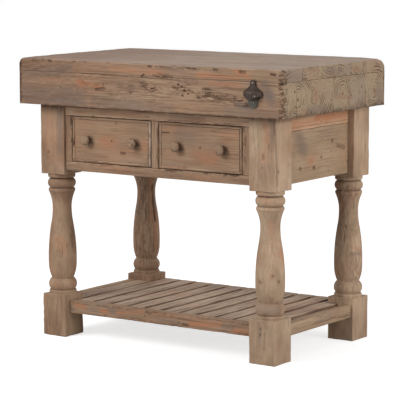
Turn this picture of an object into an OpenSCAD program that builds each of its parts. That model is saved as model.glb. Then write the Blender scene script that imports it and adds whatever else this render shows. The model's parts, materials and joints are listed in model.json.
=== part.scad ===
// Kitchen island with a thick block top, two dovetailed drawers, turned legs and a slatted shelf.
// Millimetres. X runs along the front, the front faces -Y, Z is up and the floor is at zero.

/* [Overall] */
// Height of the worktop above the floor
height = 900; // [800:10:1000]
// Length of the block top along the front
slab_l = 1010; // [900:10:1400]
// Depth of the block top from front to back
slab_d = 600; // [520:10:800]

/* [Block top] */
// Thickness of the upper layer of boards
top_t = 40; // [25:1:60]
// Thickness of the lower layer of timbers
core_t = 107; // [70:1:140]
// Radius of the worn upright corners
corner_r = 18; // [8:1:22]
// Width of the worn upper edge
edge_w = 6; // [2:0.5:10]

/* [Legs] */
// Width of the square blocks of a leg
leg_w = 94; // [92:1:120]
// Width of the eased corners of a leg
leg_ease = 2.5; // [1:0.5:5]
// Overhang of the top past the legs at each end
side_overhang = 58; // [20:1:100]
// Overhang of the top past the legs at the front
front_overhang = 43; // [10:1:80]
// Overhang of the top past the legs at the back
back_overhang = 4; // [0:1:60]
// Height of the square head of a leg
head_h = 226; // [220:1:260]
// Height of the square foot of a leg
foot_h = 138; // [125:1:180]

/* [Turning] */
// Radius of the plain rings at both ends of the turning
ring_r = 44.5; // [40:0.5:46]
// Height of the lower ring
ring_h = 10; // [6:0.5:16]
// Height of the collar under the head
collar_h = 13; // [8:0.5:18]
// Radius of the beads
bead_r = 45.6; // [41:0.2:46]
// Height of the lower bead
low_bead_h = 37; // [24:1:44]
// Height of the upper bead
top_bead_h = 31; // [20:1:38]
// Radius at the bottom of the grooves
groove_r = 37; // [33:0.5:39]
// Radius of the groove over the lower ring
low_groove_r = 39.5; // [36:0.5:41]
// Height of a groove
groove_h = 2; // [1:0.5:4]
// Height of the lip over the neck
lip_h = 11; // [7:0.5:15]
// Radius of the lip
lip_r = 43.5; // [40:0.5:45]
// Swell of the rings and of the lip between their edges
swell = 1.5; // [0.5:0.25:2.5]
// Step between two turned members
step = 0.5; // [0.2:0.1:0.8]
// Radius of the foot of the vase
vase_foot_r = 36; // [33:0.5:39]
// Largest radius of the vase
belly_r = 45.8; // [42:0.2:46]
// Height of the widest part above the foot of the vase
belly_up = 66; // [45:1:90]
// Distance below the widest part where the vase turns in to its foot
turn_down = 20; // [10:1:30]
// Smallest radius of the neck
neck_r = 31; // [26:0.5:36]
// Distance of the neck below the lip
neck_down = 52; // [35:1:70]

/* [Front frame] */
// Set-back of the front frame from the face of the legs
frame_recess = 8; // [3:1:16]
// Thickness of the top rail, the stiles and the divider
frame_t = 24; // [18:1:30]
// Height of the top rail
top_rail_h = 34; // [24:1:44]
// Height of the bottom rail
bottom_rail_h = 30; // [24:1:36]
// Depth of the bottom rail from front to back
bottom_rail_d = 60; // [45:1:80]
// Height of the drawer openings
opening_h = 147; // [120:1:150]
// Width of a stile beside a leg
stile_w = 28; // [20:1:40]
// Width of the divider between the drawers
divider_w = 28; // [20:1:40]

/* [Aprons] */
// Set-back of the aprons from the outer faces of the legs
apron_recess = 22; // [8:1:28]
// Thickness of the apron boards
apron_t = 22; // [16:1:28]
// Height of the aprons
apron_h = 213; // [205:1:218]
// Height of the upper apron board
apron_upper_h = 53; // [40:1:80]

/* [Joints] */
// Length of the tenons in the legs
tenon_l = 30; // [20:1:40]
// Thickness of the tenons
tenon_t = 10; // [7:0.5:12]
// Height of the shoulder above and below a tenon
tenon_shoulder = 6; // [4:0.5:9]
// Height of the shoulder above and below a stub tenon
stub_shoulder = 4; // [3:0.5:6]
// Length of the stub tenons of stiles, divider, runners and bearers
stub_l = 9; // [6:1:11]
// Clearance round a tenon, a tail or a panel edge
joint_gap = 0.15; // [0.05:0.05:0.3]

/* [Drawer runners] */
// Thickness of the runners under the drawer sides
runner_t = 20; // [14:1:22]
// Height of the guides beside the drawer sides
guide_h = 25; // [15:1:40]
// Space between a runner and the leg beside it
leg_space = 2; // [1:0.5:4]
// Depth of the housings in the back apron
housing_d = 8; // [5:1:11]
// Reach of a runner past the drawer side that it carries
runner_past = 3; // [2:1:10]

/* [Drawers] */
// Gap between a drawer front and its opening
drawer_gap = 1.5; // [0.8:0.1:2.5]
// Running gap under the drawer sides
slide_gap = 0.3; // [0.3:0.05:0.6]
// Space behind a closed drawer
back_space = 20; // [12:1:60]
// Thickness of the drawer front
front_t = 24; // [20:1:28]
// Wood left in front of the half-blind dovetails
lap_t = 8; // [7:0.5:10]
// Thickness of the drawer sides
side_t = 14; // [12:0.5:16]
// Thickness of the drawer back
back_t = 13; // [10:0.5:16]
// Thickness of the drawer bottom
bottom_t = 7; // [5:0.5:9]
// Height of the drawer bottom above the lower edge of the sides
bottom_rise = 10; // [8:0.5:14]
// Depth of the grooves for the drawer bottom
groove_d = 6; // [4:0.5:7]
// Drop of the drawer back below the upper edge of the sides
back_drop = 6; // [3:1:15]
// Number of dovetails at each corner
tails = 3; // [2:1:4]
// Width of a pin at its narrow end
pin_w = 9; // [6:0.5:13]
// Run of a dovetail slope for each millimetre of flare
tail_slope = 7; // [5:0.5:9]

/* [Cock beads] */
// Width of the bead round a drawer front
cock_w = 9; // [6:0.5:11]
// Depth of the rebate that holds the bead
cock_d = 5.5; // [3:0.5:6]
// How far the bead stands out of the drawer front
cock_proud = 1.5; // [1:0.25:3]

/* [Drawer stops] */
// Thickness of the stops on the bottom rail
stop_t = 5; // [3:0.5:6]
// Length of a stop along the rail
stop_l = 50; // [30:1:70]
// Width of a stop from front to back
stop_w = 20; // [12:1:20]
// Distance of a stop from the drawer side
stop_inset = 20; // [10:1:60]

/* [Knobs] */
// Radius of the knob head
knob_r = 17.5; // [14:0.5:20]
// Projection of a knob from the drawer front
knob_reach = 26; // [22:0.5:32]
// Thickness of the knob head
knob_head_t = 12; // [9:0.5:15]
// Height of the rim of a knob above its underside
knob_rim_up = 5; // [3:0.5:7]
// Radius of the foot of a knob
knob_foot_r = 11.5; // [10:0.25:13]
// Radius of the tenon that holds a knob
knob_tenon_r = 7; // [5:0.25:7.5]
// Distance between the knobs of the left drawer
left_knob_pitch = 182; // [150:1:220]
// Distance between the knobs of the right drawer
right_knob_pitch = 165; // [150:1:220]

/* [Shelf] */
// Height of the shelf surface above the floor
shelf_z = 118; // [105:1:120]
// Height of the shelf rails
shelf_rail_h = 40; // [34:1:50]
// Width of the front rail from front to back
shelf_front_w = 46; // [40:1:52]
// Set-back of the front rail from the face of the legs
shelf_front_recess = 20; // [10:1:24]
// Width of the back rail from front to back
shelf_back_w = 34; // [28:1:45]
// Thickness of the side rails
shelf_side_t = 28; // [24:1:34]
// Set-back of the side and back rails from the faces of the legs
shelf_recess = 7; // [3:1:15]
// Gap between the slats and the feet
foot_gap = 1; // [0.5:0.25:3]
// Width of a slat
slat_w = 53.5; // [45:0.5:54]
// Gap between two slats
slat_gap = 14; // [8:0.5:14.5]
// Thickness of the slats
slat_t = 18; // [14:1:20]
// Width of the rebate that holds the front ends of the slats
rebate_w = 13; // [9:1:16]
// Gap between the left side rail and the first slat
slat_end_gap = 4; // [2:1:12]
// Width of the bearers under the slats
bearer_w = 40; // [30:1:60]
// Thickness of the bearers under the slats
bearer_t = 20; // [16:1:20]
// Distance of the bearers from the feet
bearer_inset = 45; // [30:1:90]

/* [Bottle opener] */
// Distance of the middle of the opener from the right end of the top
opener_inset = 107; // [60:1:200]
// Distance of the top of the opener below the worktop
opener_down = 34; // [30:1:50]
// Height of the opener plate
opener_h = 83; // [80:1:95]
// Thickness of the opener plate
plate_t = 5; // [4:0.5:6]
// Projection of the hood from the top's front face
opener_reach = 24; // [22:0.5:28]
// Radius of the hood at its mouth
hood_r = 32; // [31.5:0.5:36]
// Thickness of the hood
hood_t = 4.5; // [3.5:0.25:4.5]
// Radius of the rounding of the hood's shoulders
shoulder_r = 12; // [9:0.5:13]
// Distance of the start of that rounding below the top of the plate
shoulder_down = 41; // [38:0.5:41]
// Distance of the middle of the hood's lip below the top of the plate
lip_down = 56; // [54:0.5:58]
// Radius of the curve of the lip, which is higher at the sides
lip_arc_r = 46; // [42:1:60]
// Hollow of the hood and the plate above the shoulders
waist = 2; // [1:0.25:3]
// Rim of the plate beside the hood
plate_rim = 2; // [1:0.5:3]
// Radius of the upper tab
upper_tab_r = 9.5; // [8.5:0.5:11]
// Radius of the lower tab
lower_tab_r = 16; // [14:0.5:18]
// Width of the tongue that lifts a cap
tongue_w = 22; // [16:1:24]
// Height of the tongue
tongue_h = 5; // [3:0.5:6]
// Height of the tongue above the middle of the lip
tongue_up = 5; // [2:0.5:7]
// Projection of the tongue from the plate
tongue_reach = 7; // [5:0.5:7]

/* [Screws] */
// Radius of the opener's screws
opener_screw_r = 2; // [1.5:0.25:2.5]
// Radius of the heads of the opener's screws
opener_head_r = 4.8; // [4:0.2:6]
// Width and depth of the slot in those heads
screw_slot = 1.2; // [0.8:0.1:1.5]
// Length of the opener's screws under the head
opener_screw_l = 32; // [25:1:45]
// Radius of the screws that hold the block top
top_screw_r = 3; // [2:0.25:4]
// Length of the screws that hold the block top
top_screw_l = 85; // [60:1:90]
// Distance of those screws from the ends of the kickers
top_screw_inset = 70; // [40:1:120]

/* [Hidden] */
$fn = 64;

// Colours of the weathered pine, its end grain, the newer inside wood and the iron
pine = [0.62, 0.51, 0.42];
top_pine = [0.66, 0.58, 0.51];
warm_pine = [0.66, 0.48, 0.36];
inside_pine = [0.70, 0.60, 0.48];
iron = [0.22, 0.17, 0.15];
steel = [0.45, 0.44, 0.42];

// Overlap that lets a cutter pass cleanly through a face
cut = 1;

// Share of the belly in the curve between the widest and the narrowest part of the vase
belly_share = 0.7;

// Relative widths of the upper boards and of the timbers, from front to back
TOP_WIDTHS = [101, 94, 112, 77, 74, 142];
CORE_WIDTHS = [70, 85, 125, 94, 98, 104, 24];

// Outside planes of the block top, centred with the opener's projection
slab_z = height - top_t - core_t;
seam_z = height - top_t;
front_y = (opener_reach - slab_d) / 2;
back_y = front_y + slab_d;

// Faces of the legs
leg_x = slab_l / 2 - side_overhang;
leg_in_x = leg_x - leg_w;
leg_front_y = front_y + front_overhang;
leg_back_y = back_y - back_overhang;
front_leg_y = [leg_front_y, leg_front_y + leg_w];
back_leg_y = [leg_back_y - leg_w, leg_back_y];
head_z = slab_z - head_h;

// Front frame and the two openings in it
face_y = leg_front_y + frame_recess;
frame_y = [face_y, face_y + frame_t];
open_top = slab_z - top_rail_h;
open_bottom = open_top - opening_h;
left_open_x = [-leg_in_x + stile_w, -divider_w / 2];
right_open_x = [divider_w / 2, leg_in_x - stile_w];

// Aprons
apron_x = [leg_x - apron_recess - apron_t, leg_x - apron_recess];
apron_y = [leg_back_y - apron_recess - apron_t, leg_back_y - apron_recess];
apron_seam_z = slab_z - apron_upper_h;
upper_apron_z = [apron_seam_z, slab_z];
lower_apron_z = [slab_z - apron_h, apron_seam_z];

// Drawers
drawer_back_y = apron_y[0] - back_space;
tail_l = front_t - lap_t;
side_z = [open_bottom + slide_gap, open_top - drawer_gap];
front_z = [open_bottom + drawer_gap, open_top - drawer_gap];
bottom_z = [side_z[0] + bottom_rise, side_z[0] + bottom_rise + bottom_t];
back_z = [bottom_z[1] + joint_gap, side_z[1] - back_drop];
knob_z = (open_bottom + open_top) / 2;

// Runners and kickers, as spans along X
runner_reach = drawer_gap + side_t + runner_past;
right_runner_x = [right_open_x[1] - runner_reach, leg_in_x - leg_space];
centre_runner_x = [-divider_w / 2 - runner_reach, divider_w / 2 + runner_reach];
runner_z = [open_bottom - runner_t, open_bottom];
runner_y = [face_y + bottom_rail_d, apron_y[0]];
kicker_y = [frame_y[1], apron_y[0]];
kicker_z = [open_top, slab_z];

// Shelf
shelf_rail_z = [shelf_z - shelf_rail_h, shelf_z];
slat_z = [shelf_z - slat_t, shelf_z];
shelf_front_y = [leg_front_y + shelf_front_recess, leg_front_y + shelf_front_recess + shelf_front_w];
shelf_back_y = [leg_back_y - shelf_recess - shelf_back_w, leg_back_y - shelf_recess];
shelf_side_x = [leg_x - shelf_recess - shelf_side_t, leg_x - shelf_recess];
slat_y = [shelf_front_y[1] - rebate_w + joint_gap, shelf_back_y[1]];
slat_pitch = slat_w + slat_gap;
slat_x0 = slat_end_gap - shelf_side_x[0];
slats = floor((slat_gap - 2 * slat_x0) / slat_pitch);
bearer_z = [slat_z[0] - bearer_t, slat_z[0]];
bearer_front_y = [front_leg_y[1] + bearer_inset, front_leg_y[1] + bearer_inset + bearer_w];
bearer_back_y = [back_leg_y[0] - bearer_inset - bearer_w, back_leg_y[0] - bearer_inset];

// Bottle opener
opener_x = slab_l / 2 - opener_inset;
opener_top_z = height - opener_down;
shoulder_z = opener_top_z - shoulder_down;
lip_z = opener_top_z - lip_down;
hood_back = hood_r - opener_reach;
upper_screw_z = opener_top_z - upper_tab_r;
lower_screw_z = opener_top_z - opener_h + lower_tab_r;

// Sum of the first n entries of a list
function sum(list, n) = n == 0 ? 0 : list[n - 1] + sum(list, n - 1);

// Span of strip i when a length is shared out by a list of relative widths
function share(list, i, start, length) =
    [for (n = [i, i + 1]) start + length * sum(list, n) / sum(list, len(list))];

// A span that is longer by g at each end
function grow(span, g) = [span[0] - g, span[1] + g];

// A span with its two ends mirrored through zero
function flip(span) = [-span[1], -span[0]];

// Points on an arc from p to q that stands out by s to the right of the way from p to q
function bow(p, q, s, n) =
    let(d = q - p, l = norm(d), r = (l * l / 4 + s * s) / (2 * s), half = asin(l / 2 / r))
    let(out = [d[1], -d[0]] / l, c = (p + q) / 2 - out * (r - s))
    [for (i = [0:n]) let(a = half * (2 * i / n - 1)) c + r * (cos(a) * out + sin(a) * d / l)];

// Points on an arc about c from angle a to angle b
function arc(c, r, a, b, n) = [for (i = [0:n]) let(t = a + (b - a) * i / n) c + r * [cos(t), sin(t)]];

// A box between three pairs of planes
module block(x, y, z) {
    translate([x[0], y[0], z[0]]) cube([x[1] - x[0], y[1] - y[0], z[1] - z[0]]);
}

// A drawing in the YZ plane, as thick as the span x
module across_x(x) {
    translate([x[0], 0, 0]) rotate([90, 0, 90]) linear_extrude(x[1] - x[0]) children();
}

// A drawing in the XZ plane, as thick as the span y
module across_y(y) {
    translate([0, y[1], 0]) rotate([90, 0, 0]) linear_extrude(y[1] - y[0]) children();
}

// The same piece on the left of the middle
module on_left() {
    mirror([1, 0, 0]) children();
}

// Tenons of a rail that runs along X between the legs
module tenons_x(y, z, g = 0) {
    mid = (y[0] + y[1]) / 2;
    for (side = [-1, 1])
        block(grow([-tenon_l, tenon_l] / 2, g) + side * [1, 1] * (leg_in_x + tenon_l / 2),
              grow([mid - tenon_t / 2, mid + tenon_t / 2], g),
              grow([z[0] + tenon_shoulder, z[1] - tenon_shoulder], g));
}

// Tenons of a rail that runs along Y between a front and a back leg
module tenons_y(x, z, g = 0) {
    mid = (x[0] + x[1]) / 2;
    for (y = [[front_leg_y[1] - tenon_l, front_leg_y[1]], [back_leg_y[0], back_leg_y[0] + tenon_l]])
        block(grow([mid - tenon_t / 2, mid + tenon_t / 2], g), grow(y, g),
              grow([z[0] + tenon_shoulder, z[1] - tenon_shoulder], g));
}

// Tenons of all the rails and aprons that end in the legs
module leg_tenons(g) {
    tenons_x(frame_y, [open_top, slab_z], g);
    tenons_x(frame_y, [open_bottom - bottom_rail_h, open_bottom], g);
    tenons_x(apron_y, upper_apron_z, g);
    tenons_x(apron_y, lower_apron_z, g);
    tenons_x(shelf_front_y, shelf_rail_z, g);
    tenons_x(shelf_back_y, [shelf_rail_z[0], slat_z[0]], g);
    for (side = [0, 1]) mirror([side, 0, 0]) {
        tenons_y(apron_x, upper_apron_z, g);
        tenons_y(apron_x, lower_apron_z, g);
        tenons_y(shelf_side_x, shelf_rail_z, g);
    }
}

// Section of what is worn off an upper edge, with the corner of the wood at zero
module worn_section() {
    polygon(concat([[cut, -edge_w]], bow([0, -edge_w], [-edge_w, 0], edge_w * 0.2, 3),
                   [[-edge_w, cut], [cut, cut]]));
}

// Each corner of the block top in turn, moved to the centre of its rounding
module at_corners() {
    for (x = [-1, 1], y = [-1, 1])
        translate([x * (slab_l / 2 - corner_r), (front_y + back_y) / 2 + y * (slab_d / 2 - corner_r), 0])
            mirror([x < 0 ? 1 : 0, 0, 0]) mirror([0, y < 0 ? 1 : 0, 0]) children();
}

// What is worn off the upper edges all round the block top
module worn_edges() {
    mid_y = (front_y + back_y) / 2;
    for (side = [0, 1]) {
        mirror([side, 0, 0]) translate([slab_l / 2, back_y - corner_r, height]) rotate([90, 0, 0])
            linear_extrude(slab_d - 2 * corner_r) worn_section();
        translate([0, mid_y, 0]) mirror([0, side, 0])
            translate([-slab_l / 2 + corner_r, slab_d / 2, height]) rotate([90, 0, 90])
            linear_extrude(slab_l - 2 * corner_r) worn_section();
    }
    at_corners() translate([0, 0, height]) rotate_extrude(angle = 90)
        translate([corner_r, 0]) worn_section();
}

// What is worn off the four upright corners of the block top
module worn_corners() {
    at_corners() translate([0, 0, slab_z - cut]) linear_extrude(height - slab_z + 2 * cut)
        difference() {
            square(corner_r + cut);
            circle(corner_r);
        }
}

// Screws that hold the block top, one pair up through each kicker
module top_screw_places() {
    for (x = [flip(right_runner_x), centre_runner_x, right_runner_x],
         y = [kicker_y[0] + top_screw_inset, kicker_y[1] - top_screw_inset])
        translate([(x[0] + x[1]) / 2, y, kicker_z[0]]) children();
}

// One countersunk screw that points up, g wider than the screw itself
module countersunk(g = 0) {
    translate([0, 0, -g]) cylinder(r1 = 2 * top_screw_r + g, r2 = top_screw_r + g, h = top_screw_r + g);
    cylinder(r = top_screw_r + g, h = top_screw_l + g);
}

// The two places of the opener's screws on the front face of the block top
module opener_screw_places() {
    for (z = [upper_screw_z, lower_screw_z])
        translate([opener_x, front_y, z]) rotate([90, 0, 0]) children();
}

// One upper board of the block top
module top_board(i) {
    color(top_pine) difference() {
        block([-slab_l, slab_l] / 2, share(TOP_WIDTHS, i, front_y, slab_d), [seam_z, height]);
        worn_corners();
        worn_edges();
    }
}

// One timber under the boards, with the holes of the screws that reach it
module core_timber(i) {
    color(pine) difference() {
        block([-slab_l, slab_l] / 2, share(CORE_WIDTHS, i, front_y, slab_d), [slab_z, seam_z]);
        worn_corners();
        top_screw_places() countersunk(joint_gap);
        if (i == 0)
            opener_screw_places() translate([0, 0, -opener_screw_l + plate_t - joint_gap])
                cylinder(r = opener_screw_r + joint_gap, h = opener_screw_l);
    }
}

// Outline of the vase of a leg from its foot at z0 to the lip at z1, as radius and height
function vase(z0, z1) =
    let(belly_z = z0 + belly_up, neck_z = z1 - neck_down, turn_z = belly_z - turn_down)
    let(dr = belly_r - neck_r, both = (dr * dr + pow(neck_z - belly_z, 2)) / (2 * dr))
    let(belly_arc = both * belly_share, neck_arc = both - belly_arc)
    let(belly_c = [belly_r - belly_arc, belly_z], neck_c = [neck_r + neck_arc, neck_z])
    let(meet = atan2(neck_z - belly_z, neck_c[0] - belly_c[0]), turn = asin((turn_z - belly_z) / belly_arc))
    let(turn_r = belly_c[0] + belly_arc * cos(turn), drop = turn_r - vase_foot_r, rise = turn_z - z0)
    let(foot_arc = (rise * rise + drop * drop) / (2 * drop), foot_c = [turn_r - foot_arc, turn_z])
    let(flare = lip_r - swell - neck_r, flare_arc = (pow(neck_down, 2) + flare * flare) / (2 * flare))
    concat(arc(foot_c, foot_arc, -asin(rise / foot_arc), 0, 6),
           arc(belly_c, belly_arc, turn * 0.5, meet, 8),
           arc(neck_c, neck_arc, 180 + meet * 0.8, 180, 5),
           arc([neck_r + flare_arc, neck_z], flare_arc, 178, 180 - asin(neck_down / flare_arc), 6));

// Outline of the turned part of a leg between its foot and its head
function turning() =
    let(z1 = foot_h + ring_h, z2 = z1 + groove_h, z3 = z2 + low_bead_h, z4 = z3 + groove_h)
    let(z9 = head_z - collar_h, z8 = z9 - groove_h, z7 = z8 - top_bead_h, z6 = z7 - groove_h)
    concat([[0, foot_h]],
           bow([ring_r - swell, foot_h], [ring_r - swell, z1], swell, 4),
           [[low_groove_r, z1 + groove_h / 2]],
           bow([low_groove_r, z2], [vase_foot_r, z3], bead_r - (low_groove_r + vase_foot_r) / 2, 8),
           vase(z4, z6 - lip_h),
           bow([lip_r - swell + step, z6 - lip_h + step], [lip_r - swell - step, z6], swell, 5),
           bow([groove_r + step, z7], [groove_r + step, z8], bead_r - groove_r - step, 8),
           [[groove_r + step, z9]],
           bow([ring_r - swell, z9 + step], [ring_r - swell, head_z], swell, 4),
           [[0, head_z]]);

// A square block of a leg between two heights, with eased corners
module leg_block(z) {
    half = leg_w / 2;
    translate([0, 0, z[0]]) linear_extrude(z[1] - z[0]) polygon([
        for (a = [0:90:270], p = bow([half, half - leg_ease], [half - leg_ease, half], leg_ease * 0.2, 3))
            [p[0] * cos(a) - p[1] * sin(a), p[0] * sin(a) + p[1] * cos(a)]
    ]);
}

// One leg with the mortises for the rails and aprons that meet it
module leg(side, y) {
    color(pine) difference() {
        translate([side * (leg_x - leg_w / 2), (y[0] + y[1]) / 2, 0]) {
            leg_block([0, foot_h]);
            rotate_extrude() polygon(turning());
            leg_block([head_z, slab_z]);
        }
        leg_tenons(joint_gap);
    }
}

// Stub tenons at both ends of an upright of the front frame
module upright_stubs(x, g = 0) {
    for (z = [[open_bottom - stub_l, open_bottom], [open_top, open_top + stub_l]])
        block(grow([x[0] + tenon_shoulder, x[1] - tenon_shoulder], g),
              grow([(frame_y[0] + frame_y[1] - tenon_t) / 2, (frame_y[0] + frame_y[1] + tenon_t) / 2], g),
              grow(z, g));
}

// All three uprights' stub tenons
module all_upright_stubs(g) {
    upright_stubs([-leg_in_x, left_open_x[0]], g);
    upright_stubs([-divider_w, divider_w] / 2, g);
    upright_stubs([right_open_x[1], leg_in_x], g);
}

// An upright of the front frame
module upright(x) {
    color(pine) {
        block(x, frame_y, [open_bottom, open_top]);
        upright_stubs(x);
    }
}

// Stub tenon of a runner in the back of the bottom rail
module runner_stub(x, g = 0) {
    block(grow([x[0] + tenon_shoulder, x[1] - tenon_shoulder], g),
          grow([runner_y[0] - stub_l, runner_y[0]], g),
          grow([runner_z[0] + stub_shoulder, runner_z[1] - stub_shoulder], g));
}

// End of a runner in its housing in the back apron
module runner_end(x, g = 0) {
    block(grow(x, g), grow([runner_y[1], runner_y[1] + housing_d], g), grow(runner_z, g));
}

// A drawer runner over the span x, with a guide beside the drawer over the span guide_x
module runner(x, guide_x) {
    color(inside_pine) {
        block(x, runner_y, runner_z);
        block(guide_x, runner_y, [runner_z[1], runner_z[1] + guide_h]);
        runner_stub(x);
        runner_end(x);
    }
}

// A kicker over the drawer sides, screwed up to the block top
module kicker(x) {
    color(inside_pine) difference() {
        block(x, kicker_y, kicker_z);
        top_screw_places() countersunk(joint_gap);
    }
}

// The top rail over the drawers
module front_top_rail() {
    color(pine) difference() {
        union() {
            block([-leg_in_x, leg_in_x], frame_y, [open_top, slab_z]);
            tenons_x(frame_y, [open_top, slab_z]);
        }
        all_upright_stubs(joint_gap);
    }
}

// The bottom rail under the drawers, deep enough to take the runners
module front_bottom_rail() {
    color(warm_pine) difference() {
        union() {
            block([-leg_in_x, leg_in_x], [face_y, runner_y[0]], [open_bottom - bottom_rail_h, open_bottom]);
            tenons_x(frame_y, [open_bottom - bottom_rail_h, open_bottom]);
        }
        all_upright_stubs(joint_gap);
        for (x = [flip(right_runner_x), centre_runner_x, right_runner_x])
            runner_stub(x, joint_gap);
    }
}

// One board of a side apron on the right
module side_apron(z) {
    block(apron_x, [front_leg_y[1], back_leg_y[0]], z);
    tenons_y(apron_x, z);
}

// One board of the back apron
module back_apron(z) {
    difference() {
        union() {
            block([-leg_in_x, leg_in_x], apron_y, z);
            tenons_x(apron_y, z);
        }
        for (x = [flip(right_runner_x), centre_runner_x, right_runner_x])
            runner_end(x, joint_gap);
    }
}

// The blocks on the bottom rail that the closed drawer fronts rest against
module drawer_stops() {
    stop_y = face_y + front_t + slide_gap;
    color(inside_pine) for (open_x = [left_open_x, right_open_x], end = [0, 1])
        block([0, stop_l] + [1, 1] * (end ? open_x[1] - drawer_gap - side_t - stop_inset - stop_l
                                          : open_x[0] + drawer_gap + side_t + stop_inset),
              [stop_y, stop_y + stop_w], [open_bottom, open_bottom + stop_t]);
}

// The six screws that hold the block top
module top_screws() {
    color(steel) top_screw_places() countersunk();
}

// Outline of one tail in the plane of a drawer side, from y at its root to y + dir * length
module tail(i, z, y, dir, length, g = 0) {
    pitch = (z[1] - z[0]) / tails;
    mid = z[0] + pitch * (i + 0.5);
    tip = (pitch - pin_w) / 2 + g;
    root = tip - length / tail_slope;
    outline = [[-cut, -root], [0, -root], [length + g, -tip], [length + g, tip], [0, root], [-cut, root]];
    polygon([for (p = outline) [y, mid] + dir * p]);
}

// All the tails of one corner
module tail_row(z, y, dir, length, g = 0) {
    for (i = [0:tails - 1]) tail(i, z, y, dir, length, g);
}

// A drawer side over the span x; inner is the face that looks into the drawer
module drawer_side(x, inner) {
    color(inside_pine) difference() {
        across_x(x) {
            translate([face_y + front_t, side_z[0]])
                square([drawer_back_y - back_t - face_y - front_t, side_z[1] - side_z[0]]);
            tail_row(front_z, face_y + front_t, -1, tail_l);
            tail_row(back_z, drawer_back_y - back_t, 1, back_t);
            for (z = [[side_z[0], back_z[0] - joint_gap], [back_z[1] + joint_gap, side_z[1]]])
                translate([drawer_back_y - back_t - cut, z[0]]) square([back_t + cut, z[1] - z[0]]);
        }
        block(grow([inner, inner], groove_d), [face_y + front_t - tail_l - cut, drawer_back_y + cut],
              grow(bottom_z, joint_gap));
    }
}

// Span of a drawer along X in its opening
function drawer_x(open_x) = grow(open_x, -drawer_gap);

// Spans of the two sides of a drawer along X
function side_spans(open_x) =
    let(x = drawer_x(open_x)) [[x[0], x[0] + side_t], [x[1] - side_t, x[1]]];

// The two knobs of a drawer, on its front face
module knob_place(open_x, pitch, side) {
    translate([(open_x[0] + open_x[1]) / 2 + side * pitch / 2, face_y, knob_z])
        rotate([90, 0, 0]) children();
}

// A drawer front with its sockets, its groove, the holes of the knobs and the rebate for the bead
module drawer_front(open_x, pitch) {
    x = drawer_x(open_x);
    inner_y = face_y + front_t;
    color(pine) difference() {
        block(x, [face_y, inner_y], front_z);
        difference() {
            block(grow(x, cut), [face_y - cut, face_y + cock_d], grow(front_z, cut));
            block(grow(x, -cock_w), [face_y - 2 * cut, face_y + cock_d + cut], grow(front_z, -cock_w));
        }
        across_x([x[0] - cut, x[0] + side_t]) tail_row(front_z, inner_y, -1, tail_l, joint_gap);
        across_x([x[1] - side_t, x[1] + cut]) tail_row(front_z, inner_y, -1, tail_l, joint_gap);
        block(grow(x, groove_d - side_t), [inner_y - groove_d, inner_y + cut], grow(bottom_z, joint_gap));
        for (side = [-1, 1]) knob_place(open_x, pitch, side) translate([0, 0, -front_t - cut])
            cylinder(r = knob_tenon_r + joint_gap, h = front_t + 2 * cut);
    }
}

// Section of the bead, from its back at cock_d to its nose, with its outer edge at zero
module bead_section() {
    nose = 1.5;
    polygon(concat([[cock_d, cock_w], [cock_d, 0]], bow([nose, 0], [nose, cock_w], -nose - cock_proud, 8)));
}

// The bead round a drawer front, four strips mitred at the corners
module drawer_bead(open_x) {
    g = joint_gap / 2;
    x = drawer_x(open_x);
    z = front_z;
    mid = [(x[0] + x[1]) / 2, 0, (z[0] + z[1]) / 2];
    for (turn = [0, 90, 180, 270]) {
        long = turn % 180 == 0;
        half = (long ? x[1] - x[0] : z[1] - z[0]) / 2;
        deep = (long ? z[1] - z[0] : x[1] - x[0]) / 2;
        color(pine) translate(mid) rotate([0, turn, 0]) intersection() {
            translate([0, face_y, -deep]) across_x([-half, half]) bead_section();
            across_y([face_y - front_t, face_y + front_t])
                polygon([[-half + g, -deep], [half - g, -deep], [half - cock_w - g, -deep + cock_w],
                         [-half + cock_w + g, -deep + cock_w]]);
        }
    }
}

// A drawer back with the pins that fit between the tails of the sides
module drawer_back(open_x) {
    x = drawer_x(open_x);
    root_y = drawer_back_y - back_t;
    color(inside_pine) difference() {
        block(x, [root_y, drawer_back_y], back_z);
        across_x([x[0] - cut, x[0] + side_t]) tail_row(back_z, root_y, 1, back_t, joint_gap);
        across_x([x[1] - side_t, x[1] + cut]) tail_row(back_z, root_y, 1, back_t, joint_gap);
    }
}

// A drawer bottom, slid into its grooves from behind
module drawer_bottom(open_x) {
    color(inside_pine) block(grow(drawer_x(open_x), groove_d - side_t - joint_gap),
        [face_y + front_t - groove_d + joint_gap, drawer_back_y], bottom_z);
}

// Outline of a turned knob from the end of its tenon to its face, as radius and height
function knob_outline() =
    let(under_z = knob_reach - knob_head_t, rim_z = under_z + knob_rim_up, tenon_z = cut - front_t)
    concat([[0, tenon_z], [knob_tenon_r, tenon_z], [knob_tenon_r, 0], [knob_foot_r, 0]],
           bow([knob_foot_r, 3 * step], [knob_r * 0.75, under_z], -knob_r * 0.2, 6),
           bow([knob_r * 0.75, under_z + step], [knob_r, rim_z], knob_r * 0.07, 4),
           bow([knob_r, rim_z + step], [0, knob_reach], knob_r * 0.15, 8));

// A turned mushroom knob
module knob(open_x, pitch, side) {
    color(top_pine) knob_place(open_x, pitch, side) rotate_extrude() polygon(knob_outline());
}

// The front rail of the shelf, rebated for the ends of the slats
module shelf_front_rail() {
    color(warm_pine) difference() {
        union() {
            block([-leg_in_x, leg_in_x], shelf_front_y, shelf_rail_z);
            tenons_x(shelf_front_y, shelf_rail_z);
        }
        block(grow([-leg_in_x, leg_in_x], -cut), [shelf_front_y[1] - rebate_w, shelf_front_y[1] + cut],
              [slat_z[0], slat_z[1] + cut]);
    }
}

// The back rail of the shelf, under the ends of the slats
module shelf_back_rail() {
    z = [shelf_rail_z[0], slat_z[0]];
    color(pine) {
        block([-leg_in_x, leg_in_x], shelf_back_y, z);
        tenons_x(shelf_back_y, z);
    }
}

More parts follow.
